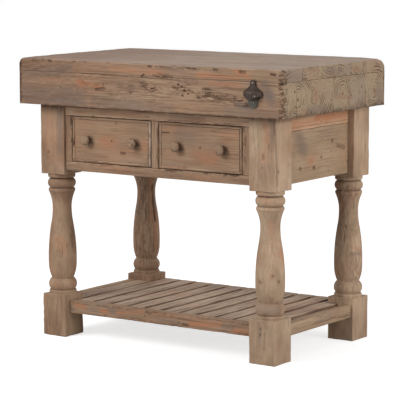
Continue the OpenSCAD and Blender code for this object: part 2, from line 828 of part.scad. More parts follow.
// Stub tenons at the ends of a shelf bearer
module bearer_stubs(y, g = 0) {
    for (side = [-1, 1])
        block(grow([-stub_l, stub_l] / 2, g) + side * [1, 1] * (shelf_side_x[0] + stub_l / 2),
              grow([y[0] + tenon_shoulder, y[1] - tenon_shoulder], g),
              grow([bearer_z[0] + stub_shoulder, bearer_z[1] - stub_shoulder], g));
}

// The right side rail of the shelf
module shelf_side_rail() {
    color(pine) difference() {
        union() {
            block(shelf_side_x, [front_leg_y[1], back_leg_y[0]], shelf_rail_z);
            tenons_y(shelf_side_x, shelf_rail_z);
        }
        bearer_stubs(bearer_front_y, joint_gap);
        bearer_stubs(bearer_back_y, joint_gap);
    }
}

// The two bearers under the slats
module shelf_bearers() {
    color(inside_pine) for (y = [bearer_front_y, bearer_back_y]) {
        block([-shelf_side_x[0], shelf_side_x[0]], y, bearer_z);
        bearer_stubs(y);
    }
}

// The slats, the outer ones cut round the feet
module shelf_slats() {
    color(top_pine) for (i = [0:slats - 1]) difference() {
        block([slat_x0 + i * slat_pitch, slat_x0 + i * slat_pitch + slat_w], slat_y, slat_z);
        for (x = [[leg_in_x, leg_x], flip([leg_in_x, leg_x])], y = [front_leg_y, back_leg_y])
            block(grow(x, foot_gap), grow(y, foot_gap), grow(slat_z, cut));
    }
}

// Turned to the front face of the block top, with the second direction up and the third outwards
module on_front() {
    translate([opener_x, front_y, 0]) rotate([90, 0, 0]) children();
}

// Outline of the hood above its straight lower part, as radius and height, from the shoulder up
function hood_line() =
    let(turn = 62, c = [hood_r - shoulder_r, shoulder_z], end = c + shoulder_r * [cos(turn), sin(turn)])
    concat(arc(c, shoulder_r, 0, turn, 6),
           bow(end, [hood_back + plate_t / 2, upper_screw_z - upper_tab_r / 2], -waist, 6));

// Right half of the outline of the opener plate, from its foot up, with a rim beside the hood
function plate_half() =
    let(side = [for (p = hood_line()) [sqrt(p[0] * p[0] - hood_back * hood_back) + plate_rim, p[1]]])
    let(wing = [side[0][0], (lip_z + shoulder_z) / 2])
    let(tab = [lower_tab_r * 1.1, lower_screw_z + lower_tab_r / 3])
    concat(arc([0, lower_screw_z], lower_tab_r, -84, 0, 8),
           bow(tab, wing, -waist / 2, 4),
           side,
           arc([0, upper_screw_z], upper_tab_r, 0, 84, 7));

// Outline of the opener plate
module plate_outline() {
    half = plate_half();
    polygon(concat(half, [for (i = [len(half) - 1:-1:0]) [-half[i][0], half[i][1]]]));
}

// The hood of the opener, half a bell round an upright axis behind the plate, open below
module opener_hood() {
    outer = concat([[hood_r, lip_z - cut]], hood_line());
    inner = [for (p = outer) p - [hood_t, hood_t / 3]];
    intersection() {
        translate([0, 0, -hood_back]) rotate([-90, 0, 0]) rotate_extrude()
            polygon(concat(outer, [for (i = [len(inner) - 1:-1:0]) inner[i]]));
        translate([0, lip_z + lip_arc_r, plate_t / 2]) cylinder(r = lip_arc_r, h = opener_reach, $fn = 96);
    }
}

// The cast bottle opener: a plate with two tabs, a hood over it and a tongue under the hood
module bottle_opener() {
    color(iron) on_front() difference() {
        union() {
            linear_extrude(plate_t) plate_outline();
            opener_hood();
            translate([-tongue_w / 2, lip_z + tongue_up, plate_t / 2])
                cube([tongue_w, tongue_h, plate_t / 2 + tongue_reach]);
        }
        for (z = [upper_screw_z, lower_screw_z])
            translate([0, z, -cut]) cylinder(r = opener_screw_r + joint_gap, h = plate_t + 2 * cut);
    }
}

// The two round-headed screws of the opener
module opener_screws() {
    head_h = opener_head_r * 0.6;
    tip_z = plate_t - opener_screw_l;
    color(steel) opener_screw_places() difference() {
        rotate_extrude() polygon(concat([[0, tip_z], [opener_screw_r, tip_z], [opener_screw_r, plate_t]],
            bow([opener_head_r, plate_t], [0, plate_t + head_h], head_h * 0.28, 6)));
        translate([-opener_head_r, -screw_slot / 2, plate_t + head_h - screw_slot])
            cube([2 * opener_head_r, screw_slot, 2 * screw_slot]);
    }
}

// The pieces under their own names
module top_board_1() top_board(0);
module top_board_2() top_board(1);
module top_board_3() top_board(2);
module top_board_4() top_board(3);
module top_board_5() top_board(4);
module top_board_6() top_board(5);
module core_timber_1() core_timber(0);
module core_timber_2() core_timber(1);
module core_timber_3() core_timber(2);
module core_timber_4() core_timber(3);
module core_timber_5() core_timber(4);
module core_timber_6() core_timber(5);
module core_timber_7() core_timber(6);
module leg_front_left() leg(-1, front_leg_y);
module leg_front_right() leg(1, front_leg_y);
module leg_back_left() leg(-1, back_leg_y);
module leg_back_right() leg(1, back_leg_y);
module front_stile_left() upright([-leg_in_x, left_open_x[0]]);
module front_stile_right() upright([right_open_x[1], leg_in_x]);
module front_divider() upright([-divider_w, divider_w] / 2);
module right_apron_upper() color(warm_pine) side_apron(upper_apron_z);
module right_apron_lower() color(pine) side_apron(lower_apron_z);
module left_apron_upper() color(pine) on_left() side_apron(upper_apron_z);
module left_apron_lower() color(pine) on_left() side_apron(lower_apron_z);
module back_apron_upper() color(pine) back_apron(upper_apron_z);
module back_apron_lower() color(pine) back_apron(lower_apron_z);
module runner_right() runner(right_runner_x, [right_open_x[1], right_runner_x[1]]);
module runner_left() on_left() runner_right();
module runner_centre() runner(centre_runner_x, [-divider_w, divider_w] / 2);
module kicker_right() kicker(right_runner_x);
module kicker_left() kicker(flip(right_runner_x));
module kicker_centre() kicker(centre_runner_x);
module left_drawer_front() drawer_front(left_open_x, left_knob_pitch);
module left_drawer_bead() drawer_bead(left_open_x);
module left_drawer_side_left() drawer_side(side_spans(left_open_x)[0], side_spans(left_open_x)[0][1]);
module left_drawer_side_right() drawer_side(side_spans(left_open_x)[1], side_spans(left_open_x)[1][0]);
module left_drawer_back() drawer_back(left_open_x);
module left_drawer_bottom() drawer_bottom(left_open_x);
module left_drawer_knob_left() knob(left_open_x, left_knob_pitch, -1);
module left_drawer_knob_right() knob(left_open_x, left_knob_pitch, 1);
module right_drawer_front() drawer_front(right_open_x, right_knob_pitch);
module right_drawer_bead() drawer_bead(right_open_x);
module right_drawer_side_left() drawer_side(side_spans(right_open_x)[0], side_spans(right_open_x)[0][1]);
module right_drawer_side_right() drawer_side(side_spans(right_open_x)[1], side_spans(right_open_x)[1][0]);
module right_drawer_back() drawer_back(right_open_x);
module right_drawer_bottom() drawer_bottom(right_open_x);
module right_drawer_knob_left() knob(right_open_x, right_knob_pitch, -1);
module right_drawer_knob_right() knob(right_open_x, right_knob_pitch, 1);
module shelf_rail_right() shelf_side_rail();
module shelf_rail_left() on_left() shelf_side_rail();

top_board_1();
top_board_2();
top_board_3();
top_board_4();
top_board_5();
top_board_6();
core_timber_1();
core_timber_2();
core_timber_3();
core_timber_4();
core_timber_5();
core_timber_6();
core_timber_7();
leg_front_left();
leg_front_right();
leg_back_left();
leg_back_right();
front_top_rail();
front_bottom_rail();
front_stile_left();
front_stile_right();
front_divider();
left_apron_upper();
left_apron_lower();
right_apron_upper();
right_apron_lower();
back_apron_upper();
back_apron_lower();
runner_left();
runner_centre();
runner_right();
kicker_left();
kicker_centre();
kicker_right();
drawer_stops();
top_screws();
left_drawer_front();
left_drawer_bead();
left_drawer_side_left();
left_drawer_side_right();
left_drawer_back();
left_drawer_bottom();
left_drawer_knob_left();
left_drawer_knob_right();
right_drawer_front();
right_drawer_bead();
right_drawer_side_left();
right_drawer_side_right();
right_drawer_back();
right_drawer_bottom();
right_drawer_knob_left();
right_drawer_knob_right();
shelf_front_rail();
shelf_back_rail();
shelf_rail_left();
shelf_rail_right();
shelf_bearers();
shelf_slats();
bottle_opener();
opener_screws();
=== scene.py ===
"""Looks of the kitchen island: worn boards, turned legs and weathered pine. Metres, floor at zero."""

import json
from collections import namedtuple
from functools import partial

import bmesh
import bpy
import numpy as np
from mathutils import Matrix, Vector

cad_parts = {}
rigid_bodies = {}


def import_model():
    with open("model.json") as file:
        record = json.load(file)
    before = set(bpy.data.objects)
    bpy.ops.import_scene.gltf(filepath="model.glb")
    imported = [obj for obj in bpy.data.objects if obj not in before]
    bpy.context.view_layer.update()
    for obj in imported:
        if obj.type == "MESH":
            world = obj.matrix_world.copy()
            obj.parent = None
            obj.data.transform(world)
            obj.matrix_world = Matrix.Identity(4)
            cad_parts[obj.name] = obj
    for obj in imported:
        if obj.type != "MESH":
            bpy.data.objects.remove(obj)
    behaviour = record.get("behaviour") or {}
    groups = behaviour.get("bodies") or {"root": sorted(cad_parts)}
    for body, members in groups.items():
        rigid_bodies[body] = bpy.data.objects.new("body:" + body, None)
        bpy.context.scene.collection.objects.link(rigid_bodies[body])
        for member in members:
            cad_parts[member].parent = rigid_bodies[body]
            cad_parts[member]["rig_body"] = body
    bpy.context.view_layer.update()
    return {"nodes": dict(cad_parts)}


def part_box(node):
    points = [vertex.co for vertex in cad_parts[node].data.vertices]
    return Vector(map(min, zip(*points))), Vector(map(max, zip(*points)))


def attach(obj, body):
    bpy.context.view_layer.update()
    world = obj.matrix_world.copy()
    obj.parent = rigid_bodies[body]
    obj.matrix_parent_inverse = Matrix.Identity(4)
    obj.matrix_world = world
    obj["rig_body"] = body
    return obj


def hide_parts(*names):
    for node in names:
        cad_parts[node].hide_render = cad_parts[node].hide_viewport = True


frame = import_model()

MM = 0.001
X, Y, Z = 0, 1, 2

# Camera that took the photograph: place in metres, angles in radians, focal length in pixels
CAMERA_AT = Vector((3.7816, -5.4297, 1.3428))
CAMERA_YAW, CAMERA_PITCH, CAMERA_ROLL = -0.6078, -0.1347, -0.0024
FOCAL_PIXELS = 2089.3
FRAME_PIXELS = 400
SENSOR_MM = 36


def make_camera():
    """The camera at the photograph's place and angle."""
    flat = np.cos(CAMERA_PITCH)
    ahead = Vector((np.sin(CAMERA_YAW) * flat, np.cos(CAMERA_YAW) * flat, np.sin(CAMERA_PITCH)))
    level = Vector((np.cos(CAMERA_YAW), -np.sin(CAMERA_YAW), 0))
    upright = level.cross(ahead)
    right = np.cos(CAMERA_ROLL) * level + np.sin(CAMERA_ROLL) * upright
    up = np.cos(CAMERA_ROLL) * upright - np.sin(CAMERA_ROLL) * level
    data = bpy.data.cameras.new("camera")
    data.sensor_width = SENSOR_MM
    data.lens = SENSOR_MM * FOCAL_PIXELS / FRAME_PIXELS
    camera = bpy.data.objects.new("camera", data)
    camera.matrix_world = Matrix.Translation(CAMERA_AT) @ Matrix((right, up, -ahead)).transposed().to_4x4()
    bpy.context.scene.collection.objects.link(camera)
    bpy.context.scene.camera = camera


# Noise and shapes of worn wood


def corners(node):
    """Low and high corner of a CAD node, as arrays."""
    return [np.array(corner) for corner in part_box(node)]


def unit(values):
    """Values held from 0 to 1."""
    return np.clip(values, 0, 1)


def lengths(vectors):
    """Lengths of vectors as a column, never zero."""
    return np.maximum(np.linalg.norm(vectors, axis=1, keepdims=True), 1e-12)


def lattice(i, j, k, seed):
    """Random numbers from 0 to 1 for the whole-number places i, j, k."""
    h = (i * 374761393 + j * 668265263 + k * 1440662683 + seed * 1274126177) & 0xFFFFFFFF
    h = ((h ^ (h >> 13)) * 1274126177) & 0xFFFFFFFF
    return ((h ^ (h >> 16)) & 0xFFFF) / 65535


def noise(p, size, seed):
    """Smooth noise from -1 to 1 at the points p, with lumps of the given size along x, y and z."""
    q = p / np.asarray(size, float)
    cell = np.floor(q).astype(np.int64)
    f = q - cell
    f = f * f * (3 - 2 * f)
    total = np.zeros(len(p))
    for corner in np.ndindex(2, 2, 2):
        weight = np.prod([f[:, n] if corner[n] else 1 - f[:, n] for n in range(3)], axis=0)
        total += weight * lattice(*(cell[:, n] + corner[n] for n in range(3)), seed)
    return 2 * total - 1


def grain_size(grain, along, across):
    """Size of a lump that is long along the grain and narrow across it."""
    return [along if axis == grain else across for axis in range(3)]


# A mark on the wood: a knot, hole, gouge, crack or patch round the line from start to end.
# depth is carved away and rough torn out in shreds, both in millimetres; dark, warm, cool and
# light tint the wood, on some marks dark as painted shade and light as painted light, and push
# bends its rings.
Mark = namedtuple("Mark", "start end radius depth dark warm cool push light rough", defaults=(0,) * 7)


def streak(start, end, radius, **effects):
    """A long mark, its ends and radius in millimetres."""
    return Mark(np.array(start, float) * MM, np.array(end, float) * MM, radius * MM, **effects)


def spot(place, radius, **effects):
    """A round mark, its place and radius in millimetres."""
    return streak(place, place, radius, **effects)


def marker(place):
    """A call that marks a face: the coordinates of one or both ends on it, then the radius."""
    def mark(*numbers, **effects):
        *ends, radius = numbers
        return streak(place(*ends[:2]), place(*ends[-2:]), radius, **effects)
    return mark


def paint(mark, effect, *rows, **shared):
    """Marks that share an effect: the numbers of a marker, then the strength of the effect."""
    return [mark(*numbers, **{effect: strength}, **shared) for *numbers, strength in rows]


def closeness(p, mark):
    """1 on the line of a mark, falling to 0 at its radius."""
    way = mark.end - mark.start
    share = unit((p - mark.start) @ way / max(way @ way, 1e-12))
    distance = np.linalg.norm(p - mark.start - share[:, None] * way, axis=1)
    return unit(1 - (distance / mark.radius) ** 2)


def extent(mark):
    """Low and high corner of a mark's box."""
    return np.minimum(mark.start, mark.end) - mark.radius, np.maximum(mark.start, mark.end) + mark.radius


def near(marks, low, high):
    """The marks that reach into a box."""
    return [mark for mark in marks if (extent(mark)[1] > low).all() and (extent(mark)[0] < high).all()]


SMALLEST_CELL = 0.4 * MM
EDGE_LINES = (0.12, 0.35, 0.7, 1.3)
MARK_LINES = (-1, -0.65, -0.3, 0, 0.3, 0.65, 1)


def ruling(low, high, step, edge, spots=(), torn=()):
    """Places of mesh lines between two faces: even steps, closer at the edges, small marks and torn spans."""
    places = list(np.linspace(low, high, max(2, round((high - low) / step) + 1)))
    for share in EDGE_LINES:
        places += [low + edge * share, high - edge * share]
    for middle, radius in spots:
        places += [middle + radius * share for share in MARK_LINES]
    for start, end, pitch in torn:
        places += list(np.arange(start, end, pitch))
    kept = [low]
    for place in sorted(place for place in places if low < place < high):
        if place - kept[-1] > SMALLEST_CELL and high - place > SMALLEST_CELL:
            kept.append(place)
    return np.array(kept + [high])


def shell(rules):
    """Points and quads of a closed box whose faces are ruled by three lists of lines."""
    shape = [len(rule) for rule in rules]
    ids = np.arange(np.prod(shape)).reshape(shape)
    quads = []
    for axis in range(3):
        for end in (0, -1):
            g = np.take(ids, end, axis=axis)
            q = np.stack([g[:-1, :-1], g[1:, :-1], g[1:, 1:], g[:-1, 1:]], -1).reshape(-1, 4)
            quads.append(q[:, ::-1] if (end == 0) != (axis == Y) else q)
    used, faces = np.unique(np.concatenate(quads), return_inverse=True)
    places = np.unravel_index(used, shape)
    return np.stack([rules[n][places[n]] for n in range(3)], -1), faces.reshape(-1, 4)


def normals(points, quads):
    """Unit normals of the points."""
    across = points[quads[:, 2]] - points[quads[:, 0]]
    other = points[quads[:, 3]] - points[quads[:, 1]]
    total = np.zeros_like(points)
    for n in range(4):
        np.add.at(total, quads[:, n], np.cross(across, other))
    return total / lengths(total)


def soften(p, low, high, radius):
    """Rounds the twelve edges of a box by a radius that may differ from point to point."""
    p = p.copy()
    middle, half = (low + high) / 2, (high - low) / 2
    for pair in ((X, Y), (Y, Z), (X, Z)):
        side = np.where(p > middle, 1.0, -1.0)
        past = [np.abs(p[:, n] - middle[n]) - half[n] + radius for n in pair]
        reach = np.hypot(*past)
        out = (past[0] > 0) & (past[1] > 0) & (reach > radius)
        for n, d in zip(pair, past):
            inner = half[n] - radius + d * radius / np.maximum(reach, 1e-12)
            p[out, n] = (middle[n] + side[:, n] * inner)[out]
    return p


EDGE_WIDTH = 5 * MM


def edge_nearness(p, low, high):
    """1 at the edges of a box, falling to 0 within the edge width."""
    gaps = np.sort(np.minimum(np.abs(p - low), np.abs(p - high)), axis=1)
    return unit(1 - gaps[:, 1] / EDGE_WIDTH)


def weather(p, n, grain, marks, wear, seed, ribs=0.3):
    """Carves the wear and the marks into points with normals n, and returns them with their tints.

    ribs is the share of the wear that follows the fibres. The tints are dark, warm, cool, push,
    light and torn.
    """
    depth = wear * (0.5 + 0.5 * noise(p, grain_size(grain, 0.16, 0.05), seed))
    depth += ribs * wear * (0.5 + 0.5 * noise(p, grain_size(grain, 0.06, 0.006), seed + 1))
    ragged = 1 + 0.6 * noise(p, grain_size(grain, 0.012, 0.004), seed + 2)
    warp = np.stack([noise(p, grain_size(grain, 0.05, 0.018), seed + 8 + axis) for axis in range(3)], -1)
    bent = p + warp * grain_size(grain, 0.02, 0.006)
    torn = noise(bent, grain_size(grain, 0.030, 0.008), seed + 6)
    torn += 0.7 * noise(bent, grain_size(grain, 0.012, 0.0035), seed + 7)
    torn = unit(2.6 * torn + 0.8 * noise(p, (0.045,) * 3, seed + 12) - 0.35)
    tints = np.zeros((len(p), 6))
    for mark in marks:
        close = closeness(p, mark)
        solid, soft = unit(close * ragged), close ** 1.5
        tear = mark.rough * np.sqrt(close) * torn
        depth += (mark.depth * np.sqrt(solid) + tear) * MM
        dark = np.maximum(mark.dark * solid, np.clip(0.25 * tear, 0, 0.5))
        found = (dark, mark.warm * soft, mark.cool * soft, mark.push * close, mark.light * soft,
                 min(mark.rough / 2, 1) * np.sqrt(close))
        tints = np.maximum(tints, np.stack(found, -1))
    return p - n * depth[:, None], tints


def random_marks(low, high, grain, seed, knots, dents):
    """Knots and dents scattered over a board's surface."""
    rng = np.random.default_rng(seed)
    found = []
    for n in range(knots + dents):
        place = rng.uniform(low, high)
        face = rng.choice([axis for axis in range(3) if axis != grain])
        place[face] = (low, high)[rng.integers(2)][face]
        if n < knots:
            size = rng.uniform(4, 9) * MM
            found.append(Mark(place, place, size * 2.6, dark=0.12, warm=rng.uniform(0, 0.5), push=1.0))
            found.append(Mark(place, place, size, depth=0.4, dark=rng.uniform(0.3, 0.8), warm=0.4))
        else:
            way = np.zeros(3)
            way[grain] = rng.uniform(0, 14) * MM
            found.append(Mark(place, place + way, rng.uniform(1.5, 3.5) * MM,
                              depth=rng.uniform(0.4, 1.2), dark=rng.uniform(0.2, 0.7)))
    return found


def make_piece(name, points, faces, node, slot, material, tints, edge):
    """A mesh object that stands for a node and moves with the node's body."""
    mesh = bpy.data.meshes.new(name)
    mesh.from_pydata(points.tolist(), [], faces)
    mesh.validate()
    mesh.shade_smooth()
    colours = mesh.attributes.new("marks", "FLOAT_COLOR", "POINT")
    colours.data.foreach_set("color", tints[:, :4].ravel())
    # Paler at the worn edges and where marks paint light
    for key, values in (("light", np.maximum(0.5 * edge, tints[:, 4])), ("torn", tints[:, 5])):
        mesh.attributes.new(key, "FLOAT", "POINT").data.foreach_set("value", values)
    mesh.materials.append(material)
    piece = bpy.data.objects.new(name, mesh)
    bpy.context.scene.collection.objects.link(piece)
    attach(piece, frame["nodes"][node]["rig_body"])
    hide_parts(node)
    return piece


# Finishes


def srgb(red, green, blue):
    """A colour given in sRGB steps from 0 to 255, as Blender's linear values."""
    steps = np.array([red, green, blue]) / 255
    return (*np.where(steps <= 0.04045, steps / 12.92, ((steps + 0.055) / 1.055) ** 2.4), 1.0)


class Tree:
    """The node tree of a material or the world, with short calls for the nodes that the finishes share."""

    def __init__(self, owner, shader="Principled BSDF"):
        owner.use_nodes = True
        self.nodes, self.links = owner.node_tree.nodes, owner.node_tree.links
        self.shader = self.nodes[shader]
        self.plus, self.minus, self.times, self.most = (
            partial(self.math, word) for word in ("ADD", "SUBTRACT", "MULTIPLY", "MAXIMUM"))

    def feed(self, node, inputs):
        """Links sockets to a node's inputs, or sets their constants."""
        for key, value in dict(inputs).items():
            if isinstance(value, bpy.types.NodeSocket):
                self.links.new(value, node.inputs[key])
            else:
                node.inputs[key].default_value = value

    def add(self, kind, inputs=(), **settings):
        """A node of a kind, with its settings and its inputs by name or number."""
        node = self.nodes.new("ShaderNode" + kind)
        for key, value in settings.items():
            setattr(node, key, value)
        self.feed(node, inputs)
        return node

    def math(self, operation, *values, clamp=False):
        """A maths node's result."""
        return self.add("Math", enumerate(values), operation=operation, use_clamp=clamp).outputs[0]

    def vector(self, operation, *values, result=0):
        """A vector maths node's result."""
        return self.add("VectorMath", enumerate(values), operation=operation).outputs[result]

    def mix(self, share, first, second):
        """Two colours mixed by a share."""
        return self.add("Mix", {0: share, 6: first, 7: second}, data_type="RGBA").outputs[2]

    def span(self, value, low, high, to_low=0.0, to_high=1.0):
        """A value mapped smoothly from one span to another, and held there."""
        return self.add("MapRange", {0: value, 1: low, 2: high, 3: to_low, 4: to_high},
                        interpolation_type="SMOOTHSTEP").outputs[0]

    def ramp(self, value, tones):
        """A colour ramp through a dark, a middle and a light tone."""
        node = self.add("ValToRGB", {0: value})
        elements = node.color_ramp.elements
        elements.new(1.0)
        for element, (place, colour) in zip(elements, zip(TONE_STOPS, tones)):
            element.position = place
            element.color = colour
        return node.outputs[0]

    def noise(self, vector, scale, detail=3, roughness=0.55, result=0):
        """A noise texture's value, or its colour, at a vector that is scaled along its three axes."""
        scaled = self.vector("MULTIPLY", vector, scale)
        return self.add("TexNoise", {"Vector": scaled, "Scale": 1.0, "Detail": detail,
                                     "Roughness": roughness}).outputs[result]

    def shifted(self, vector, scale, detail, reach):
        """A vector shifted at random by up to half the reach."""
        shift = self.vector("SUBTRACT", self.noise(vector, scale, detail, 0.5, 1), (0.5, 0.5, 0.5))
        return self.vector("ADD", vector, self.vector("MULTIPLY", shift, reach))


# Tones of the weathered pine: dark, middle and light, before the light and the stains
PINE = (srgb(112, 86, 67), srgb(149, 119, 95), srgb(176, 147, 120))
DRAWER_PINE = (srgb(112, 84, 64), srgb(149, 118, 93), srgb(174, 144, 116))
SIDE_PINE = (srgb(118, 94, 72), srgb(154, 127, 101), srgb(178, 151, 124))
UPPER_PINE = (srgb(146, 110, 82), srgb(188, 149, 117), srgb(202, 164, 132))
SLAT_PINE = (srgb(110, 84, 66), srgb(176, 148, 124), srgb(206, 181, 156))
KNOB_PINE = (srgb(92, 72, 56), srgb(132, 107, 85), srgb(158, 132, 107))
# Lighter tones of the right legs: painted light, as more light falls on the right of the island
RIGHT_LIT_PINE = (srgb(128, 101, 80), srgb(166, 138, 113), srgb(190, 163, 136))
PALE_PINE = (srgb(118, 92, 76), srgb(166, 142, 124), srgb(200, 182, 168))
# Lighter tones of the top rail: painted light on the rail, which lies in the shade of the block top
LIT_RAIL_PINE = (srgb(146, 115, 92), srgb(190, 156, 128), srgb(210, 180, 154))
BLEACHED = (srgb(128, 108, 95), srgb(160, 140, 125), srgb(182, 164, 148))
INSIDE_PINE = (srgb(150, 118, 86), srgb(186, 154, 118), srgb(206, 178, 142))
# Ends across the grain: olive, brown and greyish brown
END_PINES = ((srgb(92, 70, 52), srgb(138, 116, 93), srgb(166, 145, 118)),
             (srgb(90, 68, 52), srgb(136, 112, 90), srgb(162, 139, 114)),
             (srgb(86, 68, 55), srgb(132, 112, 93), srgb(158, 138, 117)))
# Places of the dark, middle and light tone on the colour ramps
TONE_STOPS = (0.15, 0.5, 0.85)

# Dirt in knots and cracks, which is also the colour of painted shade, and the orange, grey and olive stains
KNOT_DIRT_AND_SHADE = srgb(62, 39, 27)
WARM = srgb(176, 118, 84)
COOL = srgb(122, 107, 98)
GREEN = srgb(140, 128, 98)


def wood(name, grain, pith, tones=PINE, bleach=0.0, end_tones=END_PINES[0], ring=5 * MM, seed=0.0, warmth=0.5,
         coolness=0.5, contrast=1.0, broad=1.0, short=1.0):
    """Weathered pine: rings about the pith, fibres along the grain, knots, cracks and old stains.

    bleach gives faces that look up their greyer tones; ends across the grain show their rings;
    short makes the stains shorter along the grain.
    """
    material = bpy.data.materials.new(name)
    t = Tree(material)
    plus, minus, times, most = t.plus, t.minus, t.times, t.most
    coordinates = t.add("TexCoord").outputs
    place, facing = coordinates["Object"], t.add("SeparateXYZ", {0: coordinates["Normal"]}).outputs
    # The place with its first axis along the grain
    parts = t.add("SeparateXYZ", {0: place}).outputs
    order = [grain] + [axis for axis in range(3) if axis != grain]
    p = t.add("CombineXYZ", {n: parts[axis] for n, axis in enumerate(order)}).outputs[0]
    p = t.vector("ADD", p, (seed * 3.7, 0, 0))
    marks = t.add("Attribute", attribute_name="marks")
    channels = t.add("SeparateColor", {0: marks.outputs["Color"]}).outputs
    light, torn = (t.add("Attribute", attribute_name=key).outputs["Fac"] for key in ("light", "torn"))
    end = t.span(t.math("ABSOLUTE", facing[grain]), 0.6, 0.85)

    # Rings about the pith, swaying along the board and pushed out round the knots
    swayed = t.shifted(p, (2.2, 5, 5), 1.0, (0, 0.04, 0.04))
    cross = t.vector("SUBTRACT", swayed, (0, *(float(v) for v in pith)))
    radius = t.vector("LENGTH", t.vector("MULTIPLY", cross, (0, 1, 1)), result="Value")
    radius = plus(radius, times(t.noise(p, (9, 60, 60), 2), 0.0035))
    radius = plus(radius, times(t.noise(p, (4, 24, 24), 2), 0.014))
    radius = minus(radius, times(marks.outputs["Alpha"], 0.014))
    count = t.math("DIVIDE", radius, t.span(end, 0.0, 1.0, ring, 1.7 * ring))
    widths = t.add("TexNoise", {"W": count, "Scale": 0.45, "Detail": 2.0}, noise_dimensions="1D").outputs[0]
    turn = t.math("FRACT", plus(count, times(widths, 1.6)))
    late = minus(t.span(turn, 0.3, 0.85), t.span(turn, 0.88, 1.0))
    late = times(late, t.span(t.noise(p, (3, 16, 16), 2), 0.4, 0.62, 0.1, 1.0))

    # Fibres, streaks and cracks along the grain
    fibre = t.noise(p, (8, 380, 380), 4, 0.65)
    strands = t.noise(p, (7, 190, 190), 3, 0.6)
    streaks = t.noise(p, (4 * short, 75, 75), 4, 0.6)
    patches = t.noise(p, (3.5 * short, 15, 15))
    split = t.math("ABSOLUTE", minus(t.noise(p, (2.6, 60, 60)), 0.5))
    split = times(t.span(split, 0.0, 0.012, 1.0, 0.0), t.span(patches, 0.48, 0.62))
    pits = t.add("TexVoronoi", {"Vector": t.vector("MULTIPLY", p, (14, 36, 36)), "Scale": 1.0}).outputs[0]
    pits = times(t.span(pits, 0.03, 0.08, 1.0, 0.0), t.span(t.noise(p, (6, 12, 12), 1), 0.5, 0.6))
    groove = times(t.span(strands, 0.3, 0.42, 1.0, 0.0), t.span(patches, 0.38, 0.58, 0.3, 1.0))

    # Edges of the flakes where the wood is torn
    flakes = t.noise(t.shifted(p, (30, 50, 50), 2.0, (0.03, 0.008, 0.008)), (24, 95, 95), 3, 0.6)
    strokes = t.span(t.math("ABSOLUTE", minus(flakes, 0.5)), 0.015, 0.085, 1.0, 0.0)
    strokes = times(times(strokes, t.span(t.noise(p, (14, 40, 40), 2), 0.42, 0.56)), torn)

    tone = times(late, t.span(end, 0.0, 1.0, -0.12, -0.6))
    tone = minus(tone, times(groove, 0.34 * contrast))
    for texture, weight in ((fibre, 0.8 * contrast), (strands, 0.8 * contrast), (streaks, 0.4 * contrast),
                            (patches, 0.7 * broad)):
        part = times(minus(texture, 0.5), weight)
        tone = plus(tone, times(part, t.span(end, 0.0, 1.0, 1.0, 0.6)))
    tone = plus(tone, t.span(end, 0.0, 1.0, 0.57, 0.74))
    colour = t.ramp(tone, tones)
    if bleach:
        colour = t.mix(t.span(facing[Z], 0.4, 0.9, 0.0, bleach), colour, t.ramp(tone, BLEACHED))
    colour = t.mix(end, colour, t.ramp(tone, end_tones))

    # Old stains in broad patches, and the marks painted on the mesh, painted shade and painted light among
    # them
    long = t.noise(p, (4 * short, 20, 20))
    hue = t.noise(place, (5.5, 6.5, 7.5))
    drawn = min(contrast, 1.0)
    frayed = t.span(plus(streaks, plus(strands, fibre)), 1.32, 1.62, 0.62 - 0.37 * drawn, 0.62 + 0.38 * drawn)
    along = t.span(end, 0.0, 1.0, 1.0, 0.25)
    strip = times(t.span(long, 0.55, 0.72, 0.0, warmth), times(frayed, along))
    for share, stain in (
            (t.span(hue, 0.5, 0.72, 0.0, 0.5 * coolness), COOL),
            (times(along, t.span(hue, 0.28, 0.47, 0.34 * warmth, 0.0)), WARM),
            (times(strip, 0.8), WARM),
            (times(along, t.span(long, 0.3, 0.44, 0.45 * coolness, 0.0)), GREEN),
            (times(channels[1], frayed, clamp=True), WARM),
            (times(channels[2], frayed, clamp=True), COOL)):
        colour = t.mix(share, colour, stain)
    # Paler where the edges are worn and where marks paint light
    wear_and_painted_light = times(light, t.span(strands, 0.4, 0.62, 0.5 - 0.3 * drawn, 0.5 + 0.3 * drawn))
    flaky = times(t.span(flakes, 0.55, 0.66, 0.0, 0.6), torn)
    colour = t.mix(most(wear_and_painted_light, flaky), colour, tones[2])
    # Dark from the marks, which holds dirt and painted shade, then splits, pits and torn strokes
    dark = times(channels[0], t.span(fibre, 0.3, 0.6, 1.0, 0.75))
    for dirt, weight in ((split, 0.5), (pits, 0.6), (strokes, 0.8)):
        dark = most(dark, times(dirt, weight))

    height = plus(times(fibre, 0.5), times(late, 0.3))
    height = plus(height, times(strands, 0.6))
    height = minus(height, times(plus(split, pits), 0.8))
    height = minus(height, times(strokes, 1.2))
    t.feed(t.shader, {
        "Base Color": t.mix(dark, colour, KNOT_DIRT_AND_SHADE),
        "Roughness": plus(plus(times(fibre, 0.25), 0.62), times(dark, 0.1), clamp=True),
        "Specular IOR Level": 0.3,
        "Normal": t.add("Bump", {"Height": height, "Distance": 1.2 * MM, "Strength": 0.5}).outputs[0]})
    return material


